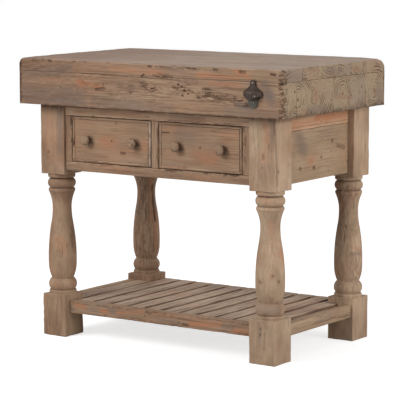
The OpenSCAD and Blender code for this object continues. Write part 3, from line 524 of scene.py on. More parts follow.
def metal(name, dark, light, rust, metallic, rough, patina=None, painted_glint=None):
    """Old iron or steel: mottled, with rust in patches and a fine cast bump.

    patina is a colour and the height below which it covers the metal; the last argument is the
    place of a painted highlight, and its colour.
    """
    material = bpy.data.materials.new(name)
    t = Tree(material)
    place = t.add("TexCoord").outputs["Object"]
    grit = t.noise(place, (900,) * 3, 4, 0.6)
    cloud = t.noise(place, (120,) * 3, 4, 0.6)
    colour = t.mix(t.span(grit, 0.35, 0.7), dark, light)
    colour = t.mix(t.span(cloud, 0.45, 0.62, 0.0, 0.8), colour, rust)
    if patina:
        height = t.plus(t.add("SeparateXYZ", {0: place}).outputs[Z], t.times(cloud, 0.008))
        colour = t.mix(t.span(height, patina[1], patina[1] + 0.006, 0.85, 0.0), colour, patina[0])
    # A painted highlight: a small pale spot about a place
    if painted_glint:
        away = t.vector("DISTANCE", place, painted_glint[0], result="Value")
        away = t.plus(away, t.times(t.noise(place, (420,) * 3), 0.02))
        colour = t.mix(t.span(away, 0.0105, 0.0125, 0.7, 0.0), colour, painted_glint[1])
    t.feed(t.shader, {
        "Base Color": colour, "Metallic": metallic, "Roughness": t.span(grit, 0.3, 0.7, rough, rough + 0.25),
        "Normal": t.add("Bump", {"Height": grit, "Distance": 0.4 * MM, "Strength": 0.5}).outputs[0]})
    return material


# Boards

# What shows of a board between its tenons or behind the rails, by the axis of its grain
SPANS = ((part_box("leg_front_left")[1].x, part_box("leg_front_right")[0].x),
         (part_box("leg_front_left")[1].y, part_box("leg_back_left")[0].y),
         (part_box("front_bottom_rail")[1].z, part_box("front_top_rail")[0].z))
# Cells of the mesh along and across the grain in millimetres, on plain and on torn wood
PLAIN_CELL = (11, 4.5)
TORN_CELL = (3.5, 1.6)
# Dark marks smaller than this get mesh lines of their own
FINE_MARK = 14 * MM


def visible(node, grain):
    """The box of a node, held along its grain to the span that shows."""
    low, high = corners(node)
    low[grain], high[grain] = max(low[grain], SPANS[grain][0]), min(high[grain], SPANS[grain][1])
    return low, high


def refit(piece, node):
    """Cuts a piece down to what the CAD node fills too, so that its joints show."""
    cutter = bpy.data.objects.new("cutter", frame["nodes"][node].data.copy())
    shape = bmesh.new()
    shape.from_mesh(cutter.data)
    bmesh.ops.remove_doubles(shape, verts=shape.verts, dist=1e-6)
    shape.to_mesh(cutter.data)
    shape.free()
    bpy.context.scene.collection.objects.link(cutter)
    fit = piece.modifiers.new("fit", "BOOLEAN")
    fit.operation = "INTERSECT"
    fit.solver = "MANIFOLD"
    fit.object = cutter
    mesh = bpy.data.meshes.new_from_object(piece.evaluated_get(bpy.context.evaluated_depsgraph_get()))
    piece.modifiers.remove(fit)
    piece.data = mesh
    bpy.data.objects.remove(cutter)


def board(node, grain, slot, marks=(), wear=0.9 * MM, ease=1.4 * MM, knots=2, dents=6, seed=0,
          box=None, name=None, coarse=1.0, shape=None, cut=False, side_shade=0.0, pith=None, **finish):
    """A worn board in the box of a CAD node, with eased and chipped edges.

    shape is a function that gives its points the outline of a larger whole, cut refits it to
    the node, and side_shade paints shade on its sides and underside.
    """
    low, high = box or corners(node)
    rng = np.random.default_rng(seed + 99)
    marks = near(marks, low, high) + random_marks(low, high, grain, seed, knots, dents)
    rules = []
    for axis in range(3):
        fine = [(at[axis], mark.radius) for mark in marks for at in (mark.start, mark.end)
                if mark.radius < FINE_MARK and mark.dark]
        torn = [(*(corner[axis] for corner in extent(mark)), TORN_CELL[axis != grain] * MM)
                for mark in marks if mark.rough]
        step = PLAIN_CELL[axis != grain] * coarse * MM
        rules.append(ruling(low[axis], high[axis], step, 3 * ease, fine, torn))
    points, quads = shell(rules)
    chips = unit(noise(points, grain_size(grain, 0.035, 0.02), seed + 5) - 0.35)
    radius = ease * (1 + 0.5 * noise(points, grain_size(grain, 0.09, 0.09), seed + 3) + 2.2 * chips)
    edge = edge_nearness(points, low, high)
    worn = soften(shape(points) if shape else points, low, high, radius)
    facing = normals(worn, quads)
    worn, tints = weather(worn, facing, grain, marks, wear, seed)
    patches = 0.8 + 0.4 * noise(worn, grain_size(grain, 0.1, 0.02), seed + 4)
    # Dirt in the chipped edges, and painted shade on the faces that do not look up
    for dirt_and_shade in (0.6 * edge * unit(chips * 3), side_shade * unit(1 - facing[:, Z] * 1.4) * patches):
        tints[:, 0] = np.maximum(tints[:, 0], dirt_and_shade)
    others = [axis for axis in range(3) if axis != grain]
    middle, half = (low + high)[others] / 2, (high - low)[others] / 2
    away = rng.uniform(-1, 1, 2)
    away = half * np.where(rng.random(2) < 0.5, 1, -1) * (0.7 + away * 0.6)
    material = wood("wood_" + (name or node), grain, pith or middle + away, seed=seed * 0.37, **finish)
    piece = make_piece(name or node + "_worn", worn, quads.tolist(), node, slot, material, tints, edge)
    if cut:
        refit(piece, node)


# Block top

SLAB_LOW, SLAB_HIGH = corners("top_board_1")[0], corners("top_board_6")[1]
SLAB_LOW[Z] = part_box("core_timber_1")[0].z
CORNER_RADIUS = 16 * MM
UPPER_EDGE = 6 * MM
# The corners of the block top, as signs along X and Y, and how much more their upper edges are worn
CORNER_WEAR = (((-1, -1), 14 * MM), ((1, 1), 24 * MM), ((-1, 1), 10 * MM), ((1, -1), 5 * MM))
CORNER_REACH = 90 * MM


def slab_outline(p):
    """Points drawn in to the rounded upright corners and the worn upper edge of the whole block top."""
    p = p.copy()
    middle, half = (SLAB_LOW + SLAB_HIGH) / 2, (SLAB_HIGH - SLAB_LOW) / 2
    side = np.where(p > middle, 1.0, -1.0)[:, :2]
    past = np.abs(p - middle)[:, :2] - half[:2] + CORNER_RADIUS
    reach = np.hypot(*past.T)
    out = (past > 0).all(axis=1) & (reach > CORNER_RADIUS)
    drawn = middle[:2] + side * (half[:2] - CORNER_RADIUS + past * (CORNER_RADIUS / reach)[:, None])
    p[out, :2] = drawn[out]
    # Distance in from the outline, and the way out
    past = np.abs(p - middle)[:, :2] - half[:2] + CORNER_RADIUS
    corner = (past > 0).all(axis=1)
    inside = CORNER_RADIUS - np.where(corner, np.hypot(*np.maximum(past, 0).T), past.max(axis=1))
    way = np.where(corner[:, None], np.maximum(past, 0), past >= past.max(axis=1, keepdims=True))
    way = side * way / lengths(way)
    edge = UPPER_EDGE * (1 + 0.45 * noise(p, (0.07,) * 3, 41) + 0.5 * noise(p, (0.018,) * 3, 42))
    for place, extra in CORNER_WEAR:
        close = unit(1 - np.linalg.norm(p[:, :2] - middle[:2] - half[:2] * place, axis=1) / CORNER_REACH)
        edge += extra * close * close * (3 - 2 * close)
    past = np.stack([edge - inside, edge - (SLAB_HIGH[Z] - p[:, Z])], -1)
    reach = np.linalg.norm(past, axis=1)
    out = (past > 0).all(axis=1) & (reach > edge)
    shift = past * (1 - edge / np.maximum(reach, 1e-12))[:, None]
    p[out, :2] -= (way * shift[:, :1])[out]
    p[out, Z] -= shift[out, 1]
    return p


FRONT_Y = SLAB_LOW[Y] / MM
END_X = SLAB_HIGH[X] / MM

# Marks on the front face and on the right end of the block top
front = marker(lambda x, z: (x, FRONT_Y, z))
end = marker(lambda y, z: (END_X, y, z))

SLAB_MARKS = [
    # Chips along the upper edge
    *[front(x - r, z, x + r, z - 1, r, depth=2.6, dark=0.85) for x, z, r in (
        (-440, 893, 4), (-373, 893, 5), (-274, 896, 3), (-233, 896, 3.5), (-143, 896, 2.5), (18, 891, 5),
        (45, 890, 3), (162, 892, 4), (184, 891, 4), (262, 890, 5), (358, 887, 7), (466, 884, 6))],
    # Holes and long cracks
    *[front(x, z, r, depth=3.0, dark=1) for x, z, r in (
        (-12, 859, 5), (-5, 864, 4), (-161, 828, 2.5), (125, 840, 4.5), (137, 832, 6), (147, 823, 5),
        (141, 807, 4.5), (162, 814, 3.5), (268, 812, 3), (-330, 812, 2.5))],
    *paint(front, "dark", (-331, 857, -211, 858, 1.6, 0.4), (-211, 858, -14, 855, 1.8, 0.6),
           (-14, 855, 99, 854, 2.0, 0.7), (99, 854, 151, 848, 2.2, 0.7), (-18, 802, 40, 801, 1.8, 0.6),
           (45, 800, 104, 797, 1.8, 0.55), (-30, 796, 30, 794, 1.5, 0.4), (206, 788, 300, 783, 1.8, 0.45),
           (150, 848, 168, 842, 1.8, 0.6), depth=0.9),
    # Torn wood
    *paint(front, "rough", (28, 867, 99, 861, 9, 1.5), (-14, 833, 38, 818, 11, 2.0),
           (-188, 811, -114, 817, 7, 2.4), (-130, 800, -99, 793, 8, 2.4), (-57, 809, -22, 814, 6, 2.2),
           (110, 832, 150, 826, 13, 2.2), (147, 822, 240, 828, 9, 1.9), (196, 806, 386, 793, 13, 2.0),
           (230, 820, 354, 806, 12, 1.8), (300, 842, 345, 838, 7, 1.6), (-440, 892, -330, 892, 6, 1.6),
           (10, 890, 200, 890, 6, 1.4), (-185, 826, 120, 812, 26, 0.9), (-80, 842, 110, 846, 16, 0.8),
           (-160, 792, 60, 786, 16, 0.7), (60, 866, 190, 852, 10, 0.8), (-250, 850, -150, 846, 10, 0.7)),
    streak((500, FRONT_Y + 5, 884), (500, FRONT_Y + 5, 758), 17, rough=2.6, dark=0.12),
    streak((492, FRONT_Y + 1, 880), (494, FRONT_Y + 1, 756), 8, rough=3.0, dark=0.3),
    end(-280, 755, 300, 755, 10, rough=2.2, dark=0.3),
    # The left end of the top is browner and its front left corner darker, and the front is darker along
    # its upper left edge; painted shade darkens the front's left edge and the lower edges of the front and
    # the end
    streak((-505, -200, 900), (-505, 300, 900), 480, dark=0.42, warm=0.3),
    streak((-505, -290, 900), (-440, -290, 900), 90, dark=0.6),
    *paint(front, "dark", (-501, 890, -501, 752, 20, 1.2), (-505, 896, -400, 899, 13, 0.7),
           (-505, 752, 505, 752, 8, 0.75), (-505, 750, 505, 750, 34, 0.22)),
    *paint(end, "dark", (-300, 752, 300, 752, 9, 0.75), (-300, 750, 300, 750, 30, 0.3)),
    end(302, 890, 302, 755, 16, dark=0.35, cool=0.4),
    # Stains of the front
    front(-212, 848, 7, depth=0.4, dark=0.5, warm=0.6, push=1),
    front(-243, 832, -222, 820, 1.8, depth=0.8, dark=0.7),
    *paint(front, "warm", (-247, 828, 26, 1.0), (-262, 832, -175, 822, 11, 0.9), (-161, 828, 9, 0.7),
           (-400, 836, -330, 838, 14, 0.6), (200, 872, 340, 868, 13, 0.8), (240, 850, 350, 844, 13, 0.8),
           (330, 888, 380, 874, 12, 0.9), (-140, 878, 60, 872, 12, 0.5), (-410, 815, -370, 814, 8, 0.7)),
    *paint(front, "cool", (340, 790, 392, 780, 20, 1.0), (-480, 850, -300, 870, 34, 0.6),
           (-200, 775, 100, 770, 26, 0.45), (300, 770, 480, 766, 24, 0.45)),
    front(436, 845, 462, 806, 30, cool=1.0, dark=0.15),
    front(-470, 790, -260, 780, 50, cool=0.8, dark=0.12),
    # Knots and stains of the right end
    *[end(y, z, r, depth=2.5, dark=0.9) for y, z, r in (
        (-228, 831, 5), (-209, 806, 6), (-113, 816, 5.5), (47, 807, 5), (97, 799, 5.5), (241, 802, 5.5),
        (-196, 786, 4), (-20, 792, 4), (160, 820, 4))],
    *[end(y0, z0, y1, z1, r, warm=0.3, dark=0.2) for y0, z0, y1, z1, r in (
        (-113, 830, -105, 800, 12), (30, 800, 60, 796, 12), (90, 810, 100, 790, 11),
        (-190, 770, -150, 765, 12), (235, 812, 240, 796, 14), (-30, 868, 10, 872, 12),
        (110, 878, 150, 872, 12))],
    *paint(end, "cool", (-150, 772, -60, 768, 22, 0.7), (270, 800, 270, 760, 22, 0.9)),
    end(-245, 880, -190, 868, 34, cool=0.4, dark=0.12),
    end(-40, 880, 20, 876, 22, cool=0.6, dark=0.1),
]

# Pith of each upper board and each timber, in millimetres from its middle along Y and from its
# lower face up, and the number of its tones across the grain
TOP_BOARDS = ((12, -60, 2), (-20, 95, 1), (8, 60, 0), (-30, -45, 2), (25, 80, 0), (10, -80, 1))
TIMBERS = ((30, 40, 0), (-33, 53, 0), (-43, 63, 1), (8, 54, 0), (-38, 46, 2), (5, 49, 0), (0, 150, 1))


def make_top():
    """The upper boards and the timbers of the block top."""
    for rows, stem, slot, bleach, seed in ((TOP_BOARDS, "top_board", "worktop", 0.9, 11),
                                           (TIMBERS, "core_timber", "block", 0.0, 31)):
        for i, (across, up, tones) in enumerate(rows):
            node = f"{stem}_{i + 1}"
            low, high = corners(node)
            # Inner timbers show only at their ends
            seen = rows is TOP_BOARDS or i in (0, len(rows) - 1)
            board(node, X, slot, SLAB_MARKS, seed=seed + i, ease=0.6 * MM, dents=8 if seen else 2,
                  pith=((low[Y] + high[Y]) / 2 + across * MM, low[Z] + up * MM), bleach=bleach,
                  end_tones=END_PINES[tones], shape=slab_outline, coarse=1.0 if seen else 1.8)


# Legs

LEG_LOW, LEG_HIGH = corners("leg_front_left")
LEG_HALF = (LEG_HIGH[X] - LEG_LOW[X]) / 2
FOOT_TOP = 138 * MM
HEAD_FOOT = LEG_HIGH[Z] - 226 * MM
LEG_EASE = 2.5 * MM
LEG_CELL = 5 * MM


def bow(start, finish, stand, count):
    """Points on an arc from start to finish that stands out by stand to the right of the way."""
    start, finish = np.array(start, float), np.array(finish, float)
    way = finish - start
    length = np.linalg.norm(way)
    radius = (length ** 2 / 4 + stand ** 2) / (2 * stand)
    out = np.array([way[1], -way[0]]) / length
    centre = (start + finish) / 2 - out * (radius - stand)
    angles = np.arcsin(np.clip(length / 2 / radius, -1, 1)) * np.linspace(-1, 1, count + 1)
    return [centre + radius * (np.cos(a) * out + np.sin(a) * way / length) for a in angles]


def arc(centre, radius, first, last, count):
    """Points on an arc about a centre, angles in degrees."""
    angles = np.radians(np.linspace(first, last, count + 1))
    return [np.array(centre) + radius * np.array([np.cos(a), np.sin(a)]) for a in angles]


def vase(low, high):
    """Outline of the vase of a leg in millimetres, as radius and height."""
    belly_r, neck_r, foot_r, lip_r = 45.8, 31.0, 36.0, 42.0
    belly_up, neck_down, turn_down = 66, 52, 20
    belly_z, neck_z = low + belly_up, high - neck_down
    turn_z = belly_z - turn_down
    swing = belly_r - neck_r
    both = (swing ** 2 + (neck_z - belly_z) ** 2) / (2 * swing)
    belly_arc, neck_arc = both * 0.7, both * 0.3
    belly_c, neck_c = (belly_r - belly_arc, belly_z), (neck_r + neck_arc, neck_z)
    meet = np.degrees(np.arctan2(neck_z - belly_z, neck_c[0] - belly_c[0]))
    turn = np.degrees(np.arcsin((turn_z - belly_z) / belly_arc))
    turn_r = belly_c[0] + belly_arc * np.cos(np.radians(turn))
    drop, rise = turn_r - foot_r, turn_z - low
    foot_arc = (rise ** 2 + drop ** 2) / (2 * drop)
    flare = lip_r - neck_r
    flare_arc = (neck_down ** 2 + flare ** 2) / (2 * flare)
    top = 180 - np.degrees(np.arcsin(neck_down / flare_arc))
    return [*arc((turn_r - foot_arc, turn_z), foot_arc, -np.degrees(np.arcsin(rise / foot_arc)), 0, 14),
            *arc(belly_c, belly_arc, turn * 0.5, meet, 28),
            *arc(neck_c, neck_arc, 180 + meet * 0.8, 180, 14),
            *arc((neck_r + flare_arc, neck_z), flare_arc, 178, top, 14)]


def turning():
    """Outline of the turned part of a leg in millimetres, as radius and height."""
    foot, head = FOOT_TOP / MM, HEAD_FOOT / MM
    ring_r, ring_h, bead_r, bead_low_r, bead_high_r, groove_r = 43, 10, 45.6, 39.5, 36, 37.5
    ring_z = foot + ring_h
    bead_z, bead_top = ring_z + 2, ring_z + 39
    collar_z = head - 13
    upper_top, upper_z = collar_z - 2, collar_z - 33
    lip_top, lip_z = upper_z - 2, upper_z - 13
    return [*bow((ring_r, foot), (ring_r, ring_z), 1.5, 6), (bead_low_r, ring_z + 1),
            *bow((bead_low_r, bead_z), (bead_high_r, bead_top), bead_r - (bead_low_r + bead_high_r) / 2, 14),
            *vase(bead_top + 2, lip_z),
            *bow((42.5, lip_z + 0.5), (41.5, lip_top), 1.5, 6),
            *bow((groove_r, upper_z), (groove_r, upper_top), bead_r - groove_r, 14),
            (groove_r, collar_z), *bow((ring_r, collar_z + 0.5), (ring_r, head), 1.5, 6)]


OUTLINE = np.array(turning())


def turned(node, angle, z):
    """A place on the turned part of a leg, at an angle in degrees from the front towards the right."""
    middle = sum(corners(node)) / 2 / MM
    order = np.argsort(OUTLINE[:, 1], kind="stable")
    reach, way = np.interp(z, OUTLINE[order, 1], OUTLINE[order, 0]), np.radians(angle)
    return (middle[X] + reach * np.sin(way), middle[Y] - reach * np.cos(way), z)


LEGS = ("leg_front_left", "leg_front_right", "leg_back_left", "leg_back_right")
# Marks on the turned part of each leg
on_front_left, on_front_right, on_back_left, on_back_right = (marker(partial(turned, node)) for node in LEGS)
# Marks just inside the front faces of the front legs and of the back legs
POST_Y, BACK_POST_Y = -245, 214
post = marker(lambda x, z: (x, POST_Y, z))
back_post = marker(lambda x, z: (x, BACK_POST_Y, z))

LEG_MARKS = {
    "leg_front_left": [
        *paint(on_front_left, "warm", (25, 314, 41, 282, 26, 1.1), (87, 174, 80, 170, 14, 0.6)),
        *paint(on_front_left, "dark", (90, 351, 95, 272, 7, 0.35), (80, 330, 84, 290, 6, 0.4)),
        on_front_left(30, 400, 40, 220, 44, light=1.0),
        # Painted shade on the head and the foot, and painted shadow under the block top
        *paint(post, "dark", (-447, 700, -359, 560, 70, 0.1), (-403, 110, -403, 20, 60, 0.14),
               (-447, 752, -359, 752, 15, 0.85)),
        post(-425, 440, -390, 200, 45, rough=0.6),
        post(-416, 598, 6, depth=0.8, dark=0.9, push=0.8, warm=0.4),
        post(-363, 735, 4, depth=1.5, dark=0.8),
        post(-412, 715, -408, 610, 30, warm=0.5, light=0.6),
        post(-368, 745, -370, 600, 16, cool=0.7),
        streak((-430, -240, 250), (-430, -240, 200), 20, warm=0.6, cool=0.3),
        streak((-425, -240, 300), (-425, -240, 360), 16, warm=0.6),
        spot((-395, -240, 165), 14, warm=0.6),
        # Painted light on the right face of the foot, which lies in shade
        streak((-359, -200, 120), (-359, -200, 10), 60, light=2.0),
    ],
    "leg_front_right": [
        *paint(on_front_right, "dark", (-9, 254, 8, 0.6), (67, 255, 8, 0.6), warm=0.5),
        on_front_right(42, 273, 8, dark=0.55, warm=0.6),
        *paint(on_front_right, "warm", (30, 430, 34, 400, 18, 0.5), (90, 345, 98, 320, 14, 0.8)),
        on_front_right(30, 374, 81, 366, 7, warm=0.4, light=1.0),
        on_front_right(31, 171, 60, 171, 22, cool=0.7),
        post(350, 178, 455, 178, 20, cool=0.8, light=0.4),
        post(380, 470, 420, 200, 40, rough=0.35, light=0.4),
        post(375, 560, 430, 740, 50, rough=0.3),
        # Cracks, holes and knots
        post(359, 730, 3.5, depth=2, dark=0.9),
        streak((443, -245, 745), (447, -232, 548), 5.5, depth=0.8, dark=0.65),
        spot((447, -225, 588), 7, depth=3, dark=1),
        post(400, 600, 5, depth=1, dark=0.7),
        post(395, 110, 6, depth=1, dark=0.9),
        post(394, 92, 6, depth=0.8, dark=0.9),
        post(404, 645, 404, 625, 17, warm=0.9, light=0.7, push=1),
        post(404, 640, 404, 630, 7, dark=0.5, warm=0.8),
        spot((386, -240, 403), 6, dark=0.7, warm=0.5, push=0.7),
        spot((401, -242, 395), 5, dark=0.7, warm=0.5, push=0.5),
        spot((361, -238, 392), 4, dark=0.5, warm=0.4),
        # Grime and stains, and painted shadow under the block top on the front and the right face
        *paint(post, "dark", (359, 752, 447, 752, 15, 0.85), (400, 110, 402, 20, 62, 0.12),
               (410, 100, 408, 50, 5, 0.5)),
        streak((447, -245, 748), (447, -157, 748), 15, dark=0.7),
        streak((447, -200, 110), (447, -200, 20), 62, dark=0.12),
        streak((447, -201, 740), (447, -201, 540), 60, light=0.3),
        spot((447, -157, 649), 12, warm=0.5),
        post(412, 730, 414, 650, 16, warm=0.5),
        post(380, 740, 385, 560, 18, light=0.6),
        post(436, 745, 436, 660, 12, cool=0.5, dark=0.12),
        post(390, 125, 392, 60, 10, cool=0.5),
    ],
    "leg_back_left": [
        back_post(-410, 500, -380, 200, 50, rough=1.6),
        *paint(on_back_left, "dark", (76, 440, 82, 399, 7, 1.0), (82, 399, 80, 320, 7, 1.0),
               (-2, 445, -5, 350, 14, 0.55), (30, 440, 34, 330, 6, 0.8), (17, 307, 21, 215, 11, 0.5),
               (50, 320, 56, 230, 8, 0.5)),
        on_back_left(64, 460, 62, 330, 12, warm=1.0, light=0.5),
        on_back_left(80, 300, 84, 230, 14, warm=0.5),
        # Painted shade over the front of the leg, which lies in shade, then two dark streaks
        *paint(back_post, "dark", (-400, 560, -400, 130, 70, 0.42), (-385, 480, -392, 400, 9, 0.7),
               (-395, 480, -390, 320, 8, 0.5)),
        back_post(-385, 350, -385, 260, 7, warm=0.6),
    ],
    "leg_back_right": [
        *paint(on_back_right, "dark", (-27, 354, -31, 250, 12, 0.4), (10, 330, 14, 220, 6, 0.35),
               (40, 350, 44, 240, 5, 0.4)),
        on_back_right(45, 280, 93, 277, 9, cool=0.6, dark=0.35),
        on_back_right(17, 369, 17, 366, 6, dark=0.8, depth=1),
        on_back_right(58, 300, 92, 290, 10, warm=0.8),
        on_back_right(80, 360, 82, 300, 16, light=0.5),
        streak((420, 214, 480), (440, 240, 180), 45, rough=0.9),
        streak((447, 300, 400), (447, 300, 330), 12, cool=0.7),
        spot((447, 290, 395), 6, warm=0.7, dark=0.2),
        streak((430, 214, 360), (440, 214, 330), 8, warm=0.6),
        streak((447, 260, 740), (447, 260, 540), 60, light=0.7),
        # Painted shade on the front of the head beside the apron and on the left of the vase
        streak((359, 214, 750), (430, 214, 530), 50, dark=0.3),
        streak((376, 220, 520), (376, 220, 150), 62, dark=0.5),
    ],
}

# Angles of the points round a leg: every 3 degrees, with more at the corners of its square parts
CORNER_ANGLES = (45 + 90 * n + step for n in range(4) for step in (-1.4, -0.7, 0.7, 1.4))
ROUND = np.radians(sorted({*range(0, 360, 3), *CORNER_ANGLES}))
# Insets of the rings close to the edges of a square block, and shares of those within a leg's ends
BLOCK_INSETS = (1.6 * MM, 0.7 * MM)
CAP_SHARES = (0.3, 0.7)


def square_ring(half, z):
    """Points on a square of the given half width at a height."""
    way = np.stack([np.cos(ROUND), np.sin(ROUND)], -1)
    way *= half / np.abs(way).max(axis=1, keepdims=True)
    return np.column_stack([way, np.full(len(way), z)])


def round_ring(radius, z):
    """Points on a circle at a height."""
    return np.column_stack([radius * np.cos(ROUND), radius * np.sin(ROUND), np.full(len(ROUND), z)])


def block_rings(low, high):
    """Rings of a square block, with lines close to its upper and lower edges."""
    return [*[square_ring(LEG_HALF - inset, low) for inset in BLOCK_INSETS],
            *[square_ring(LEG_HALF, z) for z in ruling(low, high, LEG_CELL, LEG_EASE)],
            *[square_ring(LEG_HALF - inset, high) for inset in reversed(BLOCK_INSETS)]]


def cap_rings(z, shares):
    """Rings within the square end of a leg."""
    return [square_ring(LEG_HALF * share, z) for share in shares]


def loft(rings):
    """Points, quads and all faces of a closed skin over rings with the same number of points."""
    count = len(rings[0])
    points = np.concatenate([*rings, [rings[0].mean(axis=0)], [rings[-1].mean(axis=0)]])
    step = np.arange(count)
    after = (step + 1) % count
    quads = np.concatenate([np.stack([r * count + step, r * count + after, (r + 1) * count + after,
                                      (r + 1) * count + step], -1) for r in range(len(rings) - 1)])
    bottom, top = len(points) - 2, len(points) - 1
    last = (len(rings) - 1) * count
    caps = [(bottom, int(b), int(a)) for a, b in zip(step, after)]
    caps += [(top, int(last + a), int(last + b)) for a, b in zip(step, after)]
    return points, quads, [*quads.tolist(), *caps]


# How far up and down a hollow's neighbours lie, and the depth that counts in full, in millimetres
HOLLOW_REACH = 5
HOLLOW_DEPTH = 5


def hollowness(outline):
    """How deep each point of a turned outline lies between its neighbours, from 0 to 1."""
    order = np.argsort(outline[:, 1])
    around = sum(np.interp(outline[:, 1] + step, outline[order, 1], outline[order, 0])
                 for step in (-HOLLOW_REACH, HOLLOW_REACH)) / 2
    return unit((around - outline[:, 0] - 0.6) / HOLLOW_DEPTH)


def make_leg(node, seed, foot_wear=1.0, **finish):
    """One turned leg with square head and foot, worn at its corners."""
    low, high = corners(node)
    centre = np.array([*((low + high) / 2)[:2], 0])
    foot_rings = cap_rings(0, CAP_SHARES) + block_rings(0, FOOT_TOP)
    turned_rings = [round_ring(r * MM, z * MM) for r, z in OUTLINE]
    head_rings = block_rings(HEAD_FOOT, LEG_HIGH[Z]) + cap_rings(LEG_HIGH[Z], CAP_SHARES[::-1])
    points, quads, faces = loft(foot_rings + turned_rings + head_rings)
    points += centre
    count = len(ROUND)
    round_part = slice(len(foot_rings) * count, (len(foot_rings) + len(turned_rings)) * count)
    square = np.ones(len(points), bool)
    square[round_part] = False
    foot = square & (points[:, Z] < (FOOT_TOP + HEAD_FOOT) / 2)
    radius = LEG_EASE * (1.1 + 0.6 * noise(points, (0.06, 0.06, 0.045), seed)
                         + 0.5 * noise(points, (0.02, 0.02, 0.012), seed + 1))
    edge = np.zeros(len(points))
    worn = points.copy()
    for part, z0, z1, more in ((foot, 0, FOOT_TOP, foot_wear), (square & ~foot, HEAD_FOOT, LEG_HIGH[Z], 1)):
        block = centre + (-LEG_HALF, -LEG_HALF, z0), centre + (LEG_HALF, LEG_HALF, z1)
        edge[part] = edge_nearness(points[part], *block)
        worn[part] = soften(points[part], *block, radius[part] * more)
    marks = near(LEG_MARKS[node], low, high) + random_marks(low, high, Z, seed, knots=3, dents=10)
    worn, tints = weather(worn, normals(worn, quads), Z, marks, wear=0.8 * MM, seed=seed, ribs=0.05)
    hollow = np.zeros(len(points))
    hollow[round_part] = np.repeat(hollowness(OUTLINE), count)
    tints[:, 0] = np.maximum(tints[:, 0], hollow * (0.75 + 0.25 * noise(points, (0.02,) * 3, seed + 4)))
    material = wood("wood_" + node, Z, (centre[X] + 0.02, centre[Y] + 0.07), seed=seed * 0.37, **finish)
    make_piece(node + "_worn", worn, faces, node, "leg", material, tints, edge)


def make_legs():
    """The four legs."""
    # The right legs take lighter tones as painted light
    for seed, (node, finish) in enumerate(zip(LEGS, (
            dict(foot_wear=2.2, contrast=0.3, broad=1.8, short=3.0),
            dict(tones=RIGHT_LIT_PINE, contrast=0.3, broad=1.8, short=3.0),
            dict(contrast=0.8, broad=1.6, short=1.5),
            dict(tones=RIGHT_LIT_PINE, contrast=0.45, broad=1.8, short=2.5))), 61):
        make_leg(node, seed, **finish)


# Frame, aprons, drawers and shelf

FACE_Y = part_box("front_stile_left")[0].y / MM
RAIL_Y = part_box("shelf_front_rail")[0].y / MM
SIDE_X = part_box("right_apron_lower")[1].x / MM

# Marks on the front frame or a drawer front, on the right apron, and on the shelf's front rail
face = marker(lambda x, z: (x, FACE_Y, z))
side = marker(lambda y, z: (SIDE_X, y, z))
rail = marker(lambda x, z: (x, RAIL_Y, z))

